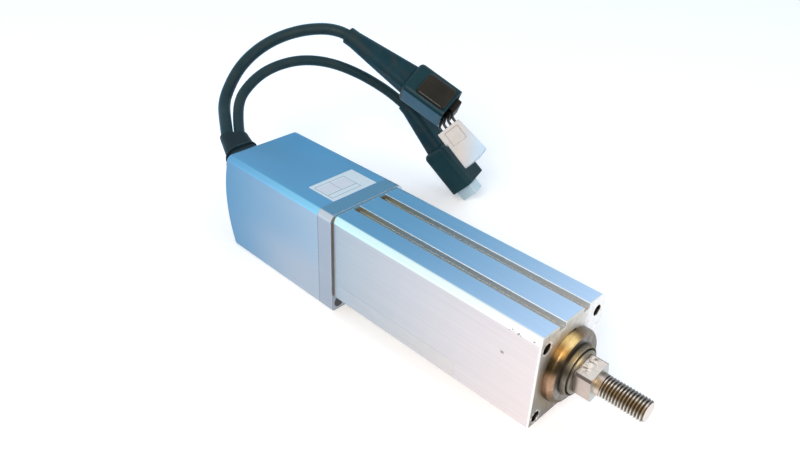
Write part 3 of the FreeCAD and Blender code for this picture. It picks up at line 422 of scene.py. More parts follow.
def groove_dirt_and_shade(x, z, forward, patches):
    """Grey, browner with dirt at the rear, and darkest on the groove's floor with painted shade."""
    brown = x.fade(FRAME_REAR, -0.075) * patches.noisy(0.35, 1.0)
    # Painted shade on the groove's floor.
    floor = z.spread(0.0223, 0.0227, 0.8, 0.0)
    return painted(forward.mix(GROOVE_WALL_REAR, GROOVE_WALL_FRONT), (brown, DIRT_BROWN), (floor, GROOVE_FLOOR_SHADE))


def cut_face(y, z, patches):
    """Bare metal: pale at the top and the far side, darker low down, at the lower near corner and round the
    ring.
    """
    speckle = noise(y.tree, 420.0, (0.0, 1, 1), 4.0)
    dark_patch = distance_from_axis(y, z).fade(0.0185, 0.0245) * patches.noisy(0.6, 1.0) * y.spread(0.0, -0.008)
    return painted(
        patches.noisy().mix(CUT_DARK, CUT_PALE),
        (z.spread(0.0, -0.010), CUT_LOW),
        (z.spread(0.012, 0.020) * 0.85, CUT_HIGH),
        (y.spread(0.004, 0.014), CUT_FAR),
        (z.spread(-0.010, -0.017) * y.spread(-0.017, -0.008) * 0.9, CUT_CORNER),
        (speckle.spread(0.44, 0.70, 0.0, 0.5) * y.spread(0.0, 0.010, 1.0, 0.4), CUT_FLECKS),
        (dark_patch * 0.8, RING_DARKENING))


def body_finish():
    material, tree = new_material("anodised_aluminium")
    x, y, z = object_place(tree).parts()
    lines = noise(tree, 1.0, (10, 900, 900), 4.0, 0.6)
    patches = noise(tree, 160.0, (0.4, 1, 1))
    forward = x.spread(FRAME_REAR, 0.0, smooth=False)
    # Painted by height: the side, the rounded edge's painted highlight and the top's painted sky reflection.
    drawn = painted(
        forward.mix(SIDE_REAR, SIDE_FRONT),
        (z.spread(0.0212, 0.0222), forward.mix(EDGE_HIGHLIGHT_REAR, EDGE_HIGHLIGHT_FRONT)),
        (z.spread(0.02455, 0.02495), (forward * forward).mix(TOP_REAR, TOP_FRONT)))
    groove = groove_mask(y, z)
    front = x.spread(-0.0006, -0.0002)
    corner = front * y.spread(-0.0213, -0.0217)
    hole, rim = corner_hole_masks(x, y, z)
    chips = noise(tree, 900.0).spread(0.53, 0.60)
    # Painted highlights on the front corner and the far groove edges; they lose most of their metallic so
    # they stay bright.
    highlight = groove_edge_highlights(x, y, z).either(corner)
    colour = painted(
        lines.noisy(0.0, 0.35).shade(drawn, LINE_TONE),
        (groove * 0.9, groove_dirt_and_shade(x, z, forward, patches)),
        (front, corner.mix(cut_face(y, z, patches), CORNER_HIGHLIGHT)),
        # Bright flecks round each hole: chipped metal and a painted highlight of the lit countersink.
        (front * rim * chips, HOLE_CHIPS_AND_HIGHLIGHT),
        (hole, HOLE_SHADE),
        (scuff_mask(x, y, z), SCUFF),
        (highlight, GROOVE_EDGE_HIGHLIGHT))
    return dress(material, {
        "Base Color": colour,
        "Roughness": lines.noisy(0.28, 0.40) + groove.either(front) * 0.15,
        "Metallic": highlight.spread(0.0, 1.0, 1.0, 0.15),
        "Normal": bump(lines, 0.08, 0.0002)})


def worn_edge_highlight_finish(name, low, high):
    """Bare bright metal on the narrow bevels, where handling has worn the surface off; near white and barely
    metallic, so the bevels also carry a painted highlight.
    """
    material, tree = new_material(name)
    rub = noise(tree, 500.0, detail=4.0)
    return dress(material, {
        "Base Color": rub.noisy().mix(low, high), "Roughness": rub.noisy(0.42, 0.60), "Metallic": 0.1})


finishes = {"anodised_aluminium": body_finish()}
worn_edge_highlights = worn_edge_highlight_finish("worn_edge_highlights", (0.88, 0.89, 0.91), (0.98, 0.98, 0.98))
plate_edges = worn_edge_highlight_finish("plate_edges", (0.60, 0.60, 0.58), (0.86, 0.84, 0.80))
print("body finish nodes:", len(finishes["anodised_aluminium"].node_tree.nodes))

# %% [markdown]
# ## Satin coat of the motor housing
# The housing carries a smooth silver-blue coat with hardly any grain, and fine dust breaks its gloss a
# little. Its colour is a painted reflection of the sky as well: bluer towards the rear and greyer near
# the body, bluest on the top, and bright along the rounded edge, which is a painted highlight. A dark
# seam parts the front plate from the cover.

# %% Satin coat
# Top, side and edge get lit copies of the coat: the blue is a painted reflection of the sky, the edges a
# painted highlight.
COAT_TOP = (0.095, 0.33, 0.58)
COAT_TOP_FAR = (0.10, 0.41, 0.75)
COAT_SIDE_REAR = (0.096, 0.288, 0.487)
COAT_SIDE_FRONT = (0.39, 0.505, 0.625)
COAT_SIDE_LOW = (0.41, 0.477, 0.568)
COAT_EDGE_HIGHLIGHT_REAR = (0.12, 0.36, 0.63)
COAT_EDGE_HIGHLIGHT_FRONT = (0.27, 0.66, 0.91)
COAT_TONE = (0.88, 0.92, 0.96)
PLATE_TOP = (0.092, 0.26, 0.42)
PLATE_SIDE = (0.367, 0.424, 0.51)
PLATE_EDGE_HIGHLIGHT = (0.53, 0.60, 0.67)
SEAM = (0.05, 0.09, 0.14)
COVER_REAR = -0.208
PLATE_FRONT = -0.119


def housing_finish():
    material, tree = new_material("housing_aluminium")
    x, y, z = object_place(tree).parts()
    grain = noise(tree, 2600.0, detail=2.0)
    dust = noise(tree, 30.0, (0.5, 1, 1))
    forward = x.spread(COVER_REAR, PLATE_FRONT, smooth=False)
    on_plate = x.spread(-0.12845, -0.12835)
    low_side = z.spread(0.006, -0.018) * x.spread(-0.195, -0.135, 0.1, 1.0)
    # A bluer top at the far rear: painted reflection.
    far_rear = y.spread(-0.006, 0.018) * x.spread(-0.140, -0.200)
    seam = x.window(-0.12858, -0.12826, 0.00006) * z.spread(0.020, 0.025, 0.85, 0.25)
    side = forward.mix(COAT_SIDE_REAR, COAT_SIDE_FRONT)
    side = painted(side, (low_side, COAT_SIDE_LOW), (on_plate, PLATE_SIDE))
    edge = on_plate.mix(forward.mix(COAT_EDGE_HIGHLIGHT_REAR, COAT_EDGE_HIGHLIGHT_FRONT), PLATE_EDGE_HIGHLIGHT)
    top = on_plate.mix(far_rear.mix(COAT_TOP, COAT_TOP_FAR), PLATE_TOP)
    coat = painted(side, (z.spread(0.0216, 0.0228), edge), (z.spread(0.02490, 0.02535), top), (seam, SEAM))
    return dress(material, {
        "Base Color": dust.noisy(0.0, 0.5).shade(coat, COAT_TONE),
        "Roughness": grain.noisy(0.30, 0.40),
        "Metallic": 0.95,
        "Normal": bump(grain, 0.08, 0.0001)})


finishes["housing_aluminium"] = housing_finish()
print("coat finish nodes:", len(finishes["housing_aluminium"].node_tree.nodes))

# %% [markdown]
# ## Bronze ring
# The ring that guides the rod is bronze: a painted highlight makes it bright gold near the top, it is
# dark brown further round and copper low on the near side. Its flat face is greyer, and painted shade
# darkens the corner at the foot of the nose. Places on it are given by the angle round the rod.

# %% Bronze
BRONZE = (0.29, 0.20, 0.105)
GOLD_HIGHLIGHT = (1.0, 0.78, 0.36)
AMBER = (0.62, 0.36, 0.12)
DARK_BROWN = (0.06, 0.044, 0.024)
COPPER = (0.52, 0.34, 0.23)
GREY_BRONZE = (0.26, 0.25, 0.24)
NOSE_METAL = (0.29, 0.265, 0.22)
FOOT_SHADE = (0.06, 0.05, 0.04)
TURNED_TONE = (0.70, 0.68, 0.64)
OIL_TONE = (0.52, 0.44, 0.34)


def angle_round(y, z):
    """Degrees round the rod's axis, from the top towards the near side."""
    return (y * -1.0).math("ARCTAN2", z) * math.degrees(1.0)


def zone(angle, middle, half, soft):
    return angle.window(middle - half - soft / 2, middle + half + soft / 2, soft)


def nose_tone(angle):
    """Greyish bronze with a painted gold highlight and a dark brown patch beside it."""
    highlight = zone(angle, 27.0, 6.0, 12.0) * 0.45
    dark_patch = zone(angle, 60.0, 6.0, 14.0) * 0.8
    return painted(NOSE_METAL, (highlight, GOLD_HIGHLIGHT), (dark_patch, DARK_BROWN))


def ring_finish():
    material, tree = new_material("bronze")
    x, y, z = object_place(tree).parts()
    oil = noise(tree, 260.0, (0.7, 1, 1), 4.0, 0.6)
    rings = noise(tree, 1.0, (2500, 120, 120), 2.0)
    reach = distance_from_axis(y, z)
    angle = angle_round(y, z)
    # A painted highlight, bright gold, with less metallic on the rim.
    highlight = zone(angle, 15.0, 7.0, 9.0)
    face = (zone(angle, 45.0, 22.0, 30.0) * 0.8).mix(GREY_BRONZE, DARK_BROWN)
    # Painted shade in the corner at the foot of the nose.
    foot = reach.window(0.0112, 0.0122, 0.0003) * x.fade(0.0044, 0.0050)
    nose = reach.fade(0.0116, 0.0118) * x.spread(0.0047, 0.0053)
    colour = painted(
        BRONZE,
        (zone(angle, -40.0, 22.0, 20.0) * 0.8, GREY_BRONZE),
        (zone(angle, 36.0, 7.0, 8.0), AMBER),
        (highlight, GOLD_HIGHLIGHT),
        (zone(angle, 58.0, 9.0, 8.0), DARK_BROWN),
        (zone(angle, 92.0, 13.0, 8.0), COPPER),
        (zone(angle, 150.0, 25.0, 20.0) * 0.7, DARK_BROWN),
        (reach.fade(0.0144, 0.0152), face),
        (foot * 0.8, FOOT_SHADE),
        (nose, nose_tone(angle)))
    colour = rings.noisy(0.0, 0.5).shade(colour, TURNED_TONE)
    on_rim = highlight * reach.spread(0.0144, 0.0152)
    return dress(material, {
        "Base Color": oil.noisy(0.75, 0.0).shade(colour, OIL_TONE),
        "Roughness": oil.noisy(0.50, 0.34),
        "Metallic": on_rim.spread(0.0, 1.0, 1.0, 0.35),
        "Normal": bump(oil, 0.15, 0.0003)})


finishes["bronze"] = ring_finish()
print("bronze finish nodes:", len(finishes["bronze"].node_tree.nodes))

# %% [markdown]
# ## Steel of the rod's end
# The collar is turned, so fine rings run round it. The wrench square is milled: its upper face has
# been chewed by a tool, with raised bright burrs. The two kinds of relief are chosen by place and go
# into one bump. A painted shadow darkens the square's side next to the collar. The thread has painted
# highlights on its crests, and painted shade in its brownish valleys and on its far side.

# %% Rod end steel
SQUARE_UP = (0.0, -0.2079, 0.9781)
SQUARE_SIDE = (0.0, -0.9781, -0.2079)
MILLED_DARK = (0.54, 0.46, 0.42)
MILLED_PALE = (0.62, 0.54, 0.50)
TOP_DARK = (0.62, 0.575, 0.545)
TOP_PALE = (0.84, 0.80, 0.765)
BURR_SHADE = (0.20, 0.15, 0.11)
BURR_BRIGHT = (1.0, 0.95, 0.90)
END_FACE = (0.50, 0.52, 0.50)
CHAMFER_SHADE = (0.075, 0.055, 0.05)
COLLAR_SHADOW = (0.14, 0.115, 0.09)
COLLAR_TONE = (0.30, 0.28, 0.25)
VALLEY_DARK = (0.10, 0.085, 0.06)
VALLEY_PALE = (0.22, 0.19, 0.14)
CREST_HIGHLIGHT = (0.80, 0.75, 0.70)
NECK = (0.66, 0.57, 0.50)
FAR_SHADE = (0.36, 0.38, 0.42)
NEAR_TONE = (0.46, 0.38, 0.27)
TIP_FACE = (0.72, 0.64, 0.60)


def end_finish():
    material, tree = new_material("end_steel")
    x, y, z = object_place(tree).parts()
    height = along(tree, SQUARE_UP)
    aside = along(tree, SQUARE_SIDE)
    burrs = noise(tree, 850.0, (0.6, 1.0, 1), 6.0, 0.65)
    fine = noise(tree, 1500.0, detail=4.0)
    ribs = noise(tree, 1.0, (3200, 30, 30), 2.0)
    plain = noise(tree, 700.0)
    on_square = x.window(0.0081, 0.0157, 0.0001)
    upper = height.spread(0.0060, 0.0064) * on_square
    torn = upper * x.spread(0.0132, 0.0105, smooth=False) * aside.spread(0.0050, 0.0020)
    chamfer = (abs(height) + abs(aside)).spread(0.01195, 0.01203) * on_square
    # Painted shadow on the square's side next to the collar.
    by_collar = x.spread(0.0105, 0.0082) * height.spread(0.0058, 0.0050)
    collar = x.fade(0.0080, 0.0082)
    smooth_top = fine.noisy().mix(TOP_DARK, TOP_PALE)
    rough_top = burrs.spread(0.34, 0.58).mix(BURR_SHADE, BURR_BRIGHT)
    colour = painted(
        plain.noisy().mix(MILLED_DARK, MILLED_PALE),
        (upper, torn.mix(smooth_top, rough_top)),
        (x.spread(0.01545, 0.01555), END_FACE),
        (chamfer * 0.9, CHAMFER_SHADE),
        (by_collar * 0.7, COLLAR_SHADOW),
        (collar, ribs.noisy(0.0, 0.9).shade(nose_tone(angle_round(y, z)), COLLAR_TONE)))
    relief = torn * burrs * 3.0 + collar * ribs + upper * fine * 0.4
    return dress(material, {
        "Base Color": colour, "Roughness": plain.noisy(0.32, 0.46), "Metallic": 1.0,
        "Normal": bump(relief, 0.6, 0.0003)})


def thread_finish():
    material, tree = new_material("thread_steel")
    x, y, z = object_place(tree).parts()
    oil = noise(tree, 420.0, (0.6, 1, 1))
    angle = angle_round(y, z)
    # Pale crests and dark valleys by radius are painted highlight and shade.
    colour = painted(
        oil.noisy().mix(VALLEY_DARK, VALLEY_PALE),
        (distance_from_axis(y, z).spread(0.0043, 0.0050), CREST_HIGHLIGHT),
        (x.spread(0.0183, 0.0181), NECK))
    # The far side gets painted shade.
    colour = zone(angle, -40.0, 45.0, 12.0).shade(colour, FAR_SHADE)
    colour = zone(angle, 54.0, 16.0, 14.0).shade(colour, NEAR_TONE)
    return dress(material, {
        "Base Color": x.spread(0.0372, 0.0374).mix(colour, TIP_FACE),
        "Roughness": oil.noisy(0.30, 0.46), "Metallic": 1.0})


finishes["end_steel"] = end_finish()
thread_steel = thread_finish()
print("steel finishes:", finishes["end_steel"].name, thread_steel.name)

# %% [markdown]
# ## Metals inside
# The drive inside the body shows only where the object is opened up, but it gets the same care: a
# fine grain, a slow change of tone and a roughness that follows the grain.

# %% Metals inside
DARKER = 0.82


def plain_metal(name, colour, rough=(0.28, 0.42), stretch=(1, 1, 1), scale=900.0):
    material, tree = new_material(name)
    grain = noise(tree, scale, stretch)
    darker = tuple(part * DARKER for part in colour)
    return dress(material, {
        "Base Color": noise(tree, 35.0).mix(darker, colour), "Roughness": grain.noisy(*rough),
        "Metallic": 1.0, "Normal": bump(grain, 0.06, 0.0002)})


for name, *look in (
        ("bracket_aluminium", (0.72, 0.73, 0.74)),
        ("bush_bronze", (0.60, 0.44, 0.22)),
        ("cage_brass", (0.70, 0.54, 0.26)),
        ("rod_steel", (0.62, 0.60, 0.56), (0.14, 0.24), (1800, 40, 40), 1.0),
        ("drive_steel", (0.60, 0.60, 0.61)),
        ("screw_steel", (0.10, 0.10, 0.11), (0.35, 0.50)),
        ("stator_steel", (0.26, 0.26, 0.28), (0.40, 0.55))):
    finishes[name] = plain_metal(name, *look)
print("metal finishes:", len(finishes))

# %% [markdown]
# ## Rubber and plastic finishes
# Black rubber is never fully black: it carries a fine grain and a dull bloom. Its teal tint and the blue
# tint of its sheen are a painted reflection of the sky. The boots are scuffed a little paler, and the hoods
# are smoother. The plugs are milky nylon, which scatters a little light under its skin, and a painted
# reflection of the sky turns it bluish along its thin right side.

# %% Rubber and plastic finishes
# The plugs turn bluish along this heading, a painted reflection of the sky.
SHADE_HEADING = (0.709, 0.705, 0.034)
# The blue tint of the sheen: a painted reflection of the sky.
BLUE_EDGE = (0.04, 0.42, 0.72)
CLOUD_TONE = (0.90, 0.92, 0.94)


def dull_finish(
        name, colour, bloom, rough=(0.40, 0.58), scale=500.0, depth=0.12, shine=0.35, scuff=None, edge=0.0):
    material, tree = new_material(name)
    grain = noise(tree, scale, detail=4.0)
    skin = noise(tree, 90.0).noisy().mix(colour, bloom)
    if scuff:
        rubs = noise(tree, 130.0, (0.6, 1.5, 1.0), 2.0).spread(0.42, 0.70)
        skin = (rubs * 0.7).mix(skin, scuff)
    return dress(material, {
        "Base Color": skin, "Roughness": grain.noisy(*rough), "Specular IOR Level": shine,
        "Sheen Weight": edge, "Sheen Roughness": 0.35, "Sheen Tint": BLUE_EDGE,
        "Normal": bump(grain, depth, 0.0002)})


# Milky nylon, warm on one side and bluish on the other; the bluish side is a painted reflection.
def nylon_finish(name, middle, warm, cool, reach):
    material, tree = new_material(name)
    cloud = noise(tree, 120.0, detail=2.0)
    skin = along(tree, SHADE_HEADING, middle).spread(-reach, reach).mix(warm, cool)
    return dress(material, {
        "Base Color": cloud.noisy(0.0, 0.6).shade(skin, CLOUD_TONE),
        "Roughness": noise(tree, 700.0).noisy(0.32, 0.46),
        "Subsurface Weight": 0.2, "Subsurface Radius": (0.0015, 0.002, 0.0025)})


# The teal in the rubber, cable, boot and hood colours is a painted reflection of the sky.
DULL_LOOKS = {
    "black_rubber": dict(colour=(0.004, 0.014, 0.019), bloom=(0.008, 0.022, 0.029), shine=0.14, edge=0.4),
    "cable_jacket": dict(
        colour=(0.008, 0.028, 0.037), bloom=(0.020, 0.036, 0.040), rough=(0.40, 0.55), shine=0.13, edge=0.9),
    "boot_rubber": dict(
        colour=(0.003, 0.023, 0.034), bloom=(0.007, 0.033, 0.046), rough=(0.46, 0.60), shine=0.12,
        scuff=(0.022, 0.032, 0.034), edge=0.7),
    "hood_plastic": dict(
        colour=(0.003, 0.026, 0.036), bloom=(0.006, 0.034, 0.046), rough=(0.36, 0.48), scale=300.0,
        depth=0.05, shine=0.16),
    "wire_jacket": dict(colour=(0.012, 0.012, 0.013), bloom=(0.025, 0.025, 0.026), rough=(0.30, 0.45)),
    "disc_plastic": dict(colour=(0.05, 0.05, 0.055), bloom=(0.08, 0.08, 0.085)),
    "board_laminate": dict(colour=(0.03, 0.16, 0.07), bloom=(0.04, 0.20, 0.09), rough=(0.3, 0.4)),
    "encoder_glass": dict(colour=(0.55, 0.62, 0.60), bloom=(0.62, 0.68, 0.66), rough=(0.05, 0.1)),
}
finishes.update({name: dull_finish(name, **look) for name, look in DULL_LOOKS.items()})
finishes["white_nylon"] = nylon_finish(
    "white_nylon", (-0.1385, 0.0995, 0.016), (0.50, 0.475, 0.47), (0.44, 0.60, 0.76), 0.007)
seated_nylon = nylon_finish(
    "seated_nylon", (-0.149, 0.113, -0.022), (0.30, 0.42, 0.48), (0.48, 0.63, 0.72), 0.009)
print("finishes by slot:", len(finishes))

# %% [markdown]
# ## Finishes on the solids
# Each solid of the model names its material slot in the record. The finish of that slot goes on the
# solid itself, and the pieces made below take it over from there. Only the wiper seal differs: oil and
# metal dust have turned its rubber brown.

# %% Finishes on the solids
slot_of = {entry["node"]: entry["material_slot"] for entry in frame["record"]["subparts"]}
for name, node in frame["nodes"].items():
    node.data.materials.clear()
    node.data.materials.append(finishes[slot_of[name]])
oily_seal = dull_finish(
    "oily_seal", (0.030, 0.026, 0.018), (0.085, 0.072, 0.048), (0.35, 0.55), 900.0, 0.1, 0.3)
frame["nodes"]["wiper_seal"].data.materials[0] = oily_seal
print("solids with a finish:", len(frame["nodes"]))

# %% [markdown]
# ## Cables
# The two cables are stiff and arch through the air from the gland to their connectors. A NURBS
# spline of order three through a few control points gives the even bend of a round lead, where a
# mesh tube of straight runs would look like bent wire.

# %% Cables
THICK_ROUTE = [
    (-0.22773366, -0.006547, 0.021596),
    (-0.23574366, -0.002097, 0.025601),
    (-0.2501, 0.0068, 0.0313),
    (-0.2557, 0.0157, 0.0384),
    (-0.2585, 0.0253, 0.0462),
    (-0.2585, 0.0362, 0.0530),
    (-0.2555, 0.0474, 0.0587),
    (-0.2498, 0.0580, 0.0628),
    (-0.2422, 0.0681, 0.0652),
    (-0.2335, 0.0773, 0.0654),
    (-0.2233, 0.0822, 0.0629),
    (-0.21328, 0.08545, 0.05733),
]
THIN_ROUTE = [
    (-0.22444, -0.00055, 0.02152),
    (-0.23155, 0.0034, 0.025075),
    (-0.2419, 0.0120, 0.0344),
    (-0.2448, 0.0223, 0.0406),
    (-0.2447, 0.0330, 0.0457),
    (-0.2415, 0.0442, 0.0490),
    (-0.2360, 0.0554, 0.0504),
    (-0.2292, 0.0672, 0.0485),
    (-0.2212, 0.0779, 0.0439),
    (-0.2115, 0.0883, 0.0369),
    (-0.1990, 0.0991, 0.0265),
    (-0.18984, 0.10341, 0.01845),
]
THICK_DIAMETER = 0.0070
THIN_DIAMETER = 0.0061


def tie(piece, body, node=None):
    """Put a piece on the body that carries it, and hide the solid it stands for."""
    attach(piece, body)
    if node:
        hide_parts(node)


def cable(name, node, points, diameter):
    curve = bpy.data.curves.new(name, "CURVE")
    curve.dimensions = "3D"
    curve.bevel_depth = diameter / 2
    curve.bevel_resolution = 6
    curve.resolution_u = 10
    curve.use_fill_caps = True
    spline = curve.splines.new("NURBS")
    spline.points.add(len(points) - 1)
    for point, place in zip(spline.points, points):
        point.co = (*place, 1.0)
    spline.order_u = 3
    spline.use_endpoint_u = True
    curve.materials.append(finishes["cable_jacket"])
    item = bpy.data.objects.new(name, curve)
    scene.collection.objects.link(item)
    tie(item, "housing", node)
    return item


thick_cable = cable("thick_lead", "thick_cable", THICK_ROUTE, THICK_DIAMETER)
thin_cable = cable("thin_lead", "thin_cable", THIN_ROUTE, THIN_DIAMETER)
print("cables:", thick_cable.name, thin_cable.name)

# %% [markdown]
# ## Pieces with softened edges
# No machined or moulded edge is perfectly sharp: it holds a thin line of light. The solids from the
# model have true forms but sharp edges, so each visible one is copied, its facets are merged back
# into whole faces, and a narrow bevel is cut along its corners. On the body and the front plate the
# bevel gets the worn finish, whose near-white, barely metallic colour is also a painted highlight.

# %% Softened copies of the solids
POINT_GAP = 2e-6
FLAT_DEGREES = 0.4


def merged_copy(node):
    """The solid's mesh with its loose triangles joined and its flat faces made whole."""
    mesh = frame["nodes"][node].data.copy()
    work = bmesh.new()
    work.from_mesh(mesh)
    bmesh.ops.remove_doubles(work, verts=work.verts, dist=POINT_GAP)
    bmesh.ops.dissolve_limit(
        work, angle_limit=math.radians(FLAT_DEGREES), verts=work.verts, edges=work.edges)
    work.to_mesh(mesh)
    work.free()
    return mesh


def bake(piece, angle):
    """Make what the modifiers show the piece's own mesh, smooth up to an angle."""
    finished = bpy.data.meshes.new_from_object(piece.evaluated_get(bpy.context.evaluated_depsgraph_get()))
    piece.modifiers.clear()
    piece.data = finished
    finished.shade_smooth()
    finished.set_sharp_from_angle(angle=math.radians(angle))
    print(piece.name, "faces:", len(finished.polygons))


def softened(node, name, width, body="housing", angle=34.0, segments=2, edge_finish=None, mesh=None):
    mesh = mesh or merged_copy(node)
    piece = bpy.data.objects.new(name, mesh)
    scene.collection.objects.link(piece)
    modifier = piece.modifiers.new("edges", "BEVEL")
    modifier.width = width
    modifier.segments = segments
    modifier.limit_method = "ANGLE"
    modifier.angle_limit = math.radians(angle)
    modifier.harden_normals = False
    if edge_finish:
        mesh.materials.append(edge_finish)
        modifier.material = len(mesh.materials) - 1
    bake(piece, angle)
    weighted = piece.modifiers.new("even_light", "WEIGHTED_NORMAL")
    weighted.keep_sharp = True
    tie(piece, body, node)
    return piece


softened("body_frame", "slotted_body", 0.00025, edge_finish=worn_edge_highlights)
softened("motor_bracket", "front_plate", 0.0005, edge_finish=plate_edges, segments=3)
softened("motor_cover", "motor_housing", 0.0003)
softened("front_ring", "rod_ring", 0.0003)
softened("cable_gland", "lead_gland", 0.0012, segments=3)

# %% [markdown]
# ## Connectors
# Each cable ends in a tapered boot, a hood and a white plug. The side of the first hood that turns to
# the light gets a bluer finish of its own, a painted reflection of the sky. Its faces are found by the
# way they point, because that stays however the mesh is cut.

# %% Connectors
HOOD_SIDE_NORMAL = Vector((0.0947, -0.8982, -0.4293))
SAME_WAY = 0.98
# The hood's side: a painted reflection of the sky.
hood_side_reflection = dull_finish(
    "hood_side_reflection", (0.020, 0.085, 0.140), (0.032, 0.115, 0.180), (0.34, 0.46), 300.0, 0.05, 0.28)


def tinted_hood():
    mesh = merged_copy("motor_connector_hood")
    mesh.materials.append(hood_side_reflection)
    sides = [face for face in mesh.polygons if face.normal.dot(HOOD_SIDE_NORMAL) > SAME_WAY]
    for face in sides:
        face.material_index = 1
    print("hood side faces:", len(sides))
    return mesh


motor_boot = softened("motor_connector_boot", "motor_boot", 0.0004)
motor_hood = softened("motor_connector_hood", "motor_hood", 0.0005, mesh=tinted_hood())
encoder_boot = softened("encoder_connector_boot", "encoder_boot", 0.0004)
encoder_hood = softened("encoder_connector_hood", "encoder_hood", 0.0006)
motor_plug = softened("motor_plug", "loose_plug", 0.0005)
encoder_plug = softened("encoder_plug", "seated_plug", 0.0012, segments=4)
encoder_plug.data.materials[0] = seated_nylon

# %% [markdown]
# ## Wrench square
# The rod's end is one steel piece: collar, wrench square and thread. The collar and square are the
# model's own, softened. The plain cylinder that stands for the thread is cut off, because a true
# thread is made next.

# %% Wrench square
THREAD_CUT = 0.0157


def end_without_thread():
    mesh = merged_copy("rod_end")
    work = bmesh.new()
    work.from_mesh(mesh)
    parts = work.verts[:] + work.edges[:] + work.faces[:]
    cut = bmesh.ops.bisect_plane(
        work, geom=parts, plane_co=(THREAD_CUT, 0, 0), plane_no=(1, 0, 0), clear_outer=True)
    rim = [edge for edge in cut["geom_cut"] if isinstance(edge, bmesh.types.BMEdge)]
    bmesh.ops.edgeloop_fill(work, edges=rim)
    work.to_mesh(mesh)
    work.free()
    return mesh


softened("rod_end", "rod_square", 0.0002, body="rod", mesh=end_without_thread())

# %% [markdown]
# ## Thread
# A thread is a profile swept along a helix, so it follows a rule and is made with Geometry Nodes. A
# spiral curve at the root carries a four-sided profile whose outer half stands out as the ridge. The
# ridge is then trimmed to the chamfer at the tip, and a plain core with a smooth neck is joined to it.
# The fields from above work in this tree too.

# %% Thread nodes
THREAD_SIZES = {
    "Crest Radius": 0.0050, "Root Radius": 0.00428, "Pitch": 0.00136,
    "Start": 0.0182, "Tip": 0.0374, "Chamfer": 0.0008,
}
NECK_LENGTH = 0.00255
RIDGE_SPARE = 1.12
RIDGE_FOOT = 0.45


def thread_tree():
    tree = bpy.data.node_groups.new("rod_thread", "GeometryNodeTree")
    tree.interface.new_socket("Geometry", in_out="OUTPUT", socket_type="NodeSocketGeometry")
    sockets = {}
    for name, number in THREAD_SIZES.items():
        socket = tree.interface.new_socket(name, in_out="INPUT", socket_type="NodeSocketFloat")
        socket.default_value = number
        sockets[name] = socket.identifier
    return tree, sockets


def laid(shape, x):
    """A shape made upright at the origin, laid along the rod at x."""
    shift = make(shape.tree, "ShaderNodeCombineXYZ", {"X": x})
    values = {"Geometry": shape, "Rotation": (0.0, math.pi / 2, 0.0), "Translation": shift}
    return make(shape.tree, "GeometryNodeTransform", values)


def ridge(tree, given):
    """The profile swept along the spiral, turned so that it runs along the rod."""
    run = given["Tip"] - given["Start"]
    spiral = make(tree, "GeometryNodeCurveSpiral", {
        "Resolution": 48, "Rotations": run / given["Pitch"], "Height": run,
        "Start Radius": given["Root Radius"], "End Radius": given["Root Radius"]})
    upright = make(tree, "GeometryNodeSetCurveNormal", {"Curve": spiral}, mode="Z_UP")
    out = (given["Crest Radius"] - given["Root Radius"]) * RIDGE_SPARE
    foot = given["Pitch"] * RIDGE_FOOT
    corners = {}
    for index, (side, height) in enumerate(((1, 0), (0, 1), (-1, 0), (0, -1)), start=1):
        corners[f"Point {index}"] = make(tree, "ShaderNodeCombineXYZ", {"X": out * side, "Y": foot * height})
    outline = make(tree, "GeometryNodeCurvePrimitiveQuadrilateral", corners, mode="POINTS")
    values = {"Curve": upright, "Profile Curve": outline, "Fill Caps": True}
    return laid(make(tree, "GeometryNodeCurveToMesh", values), given["Start"])


def bar(tree, radius, start, end):
    """A plain round bar from one place on the rod's axis to another."""
    length = end - start
    values = {"Vertices": 96, "Radius": radius, "Depth": length}
    return laid(make(tree, "GeometryNodeMeshCylinder", values), start + length * 0.5)


def trimmed(shape, given):
    """Points beyond the crest, the tip or the tip's chamfer are brought back to them."""
    x, y, z = make(shape.tree, "GeometryNodeInputPosition", {}).parts()
    x = x.math("MINIMUM", given["Tip"])
    at_chamfer = given["Crest Radius"] - given["Chamfer"] + (given["Tip"] - x)
    limit = given["Crest Radius"].math("MINIMUM", at_chamfer)
    share = (limit / distance_from_axis(y, z)).math("MINIMUM", 1.0)
    back = make(shape.tree, "ShaderNodeCombineXYZ", {"X": x, "Y": y * share, "Z": z * share})
    return make(shape.tree, "GeometryNodeSetPosition", {"Geometry": shape, "Position": back})


def whole_thread(tree):
    given = {socket.name: Field(socket) for socket in tree.nodes.new("NodeGroupInput").outputs}
    neck = given["Start"] - NECK_LENGTH
    join = tree.nodes.new("GeometryNodeJoinGeometry")
    for shape in (
            ridge(tree, given),
            bar(tree, given["Root Radius"], neck, given["Tip"]),
            bar(tree, given["Crest Radius"], neck, given["Start"])):
        set_inputs(join, {"Geometry": shape})
    shape = trimmed(Field(join.outputs["Geometry"]), given)
    plain = make(tree, "GeometryNodeRealizeInstances", {"Geometry": shape})
    coat = make(tree, "GeometryNodeSetMaterial", {"Geometry": plain, "Material": thread_steel})
    set_inputs(tree.nodes.new("NodeGroupOutput"), {"Geometry": coat})


tree, thread_sockets = thread_tree()
whole_thread(tree)
print("thread tree nodes:", len(tree.nodes))

# %% [markdown]
# ## Thread piece
# The tree is put on an empty mesh as a modifier, and its inputs are set by their identifiers. What it
# makes then becomes the piece's own mesh, so the modifier can go.

# %% Thread piece
SHARP_DEGREES = 30
thread = bpy.data.objects.new("rod_thread", bpy.data.meshes.new("rod_thread"))
scene.collection.objects.link(thread)
modifier = thread.modifiers.new("thread", "NODES")
modifier.node_group = tree
for name in ("Pitch", "Tip"):
    modifier[thread_sockets[name]] = THREAD_SIZES[name]
bpy.context.view_layer.update()
bake(thread, SHARP_DEGREES)
tie(thread, "rod", "rod_end")

# %% [markdown]
# ## Finishes of the labels
# A bare sticker lies on the housing's top, and a clear film on the body's side. The sticker keeps only
# plain ruled boxes, and the film only its edge and a slight change of gloss.

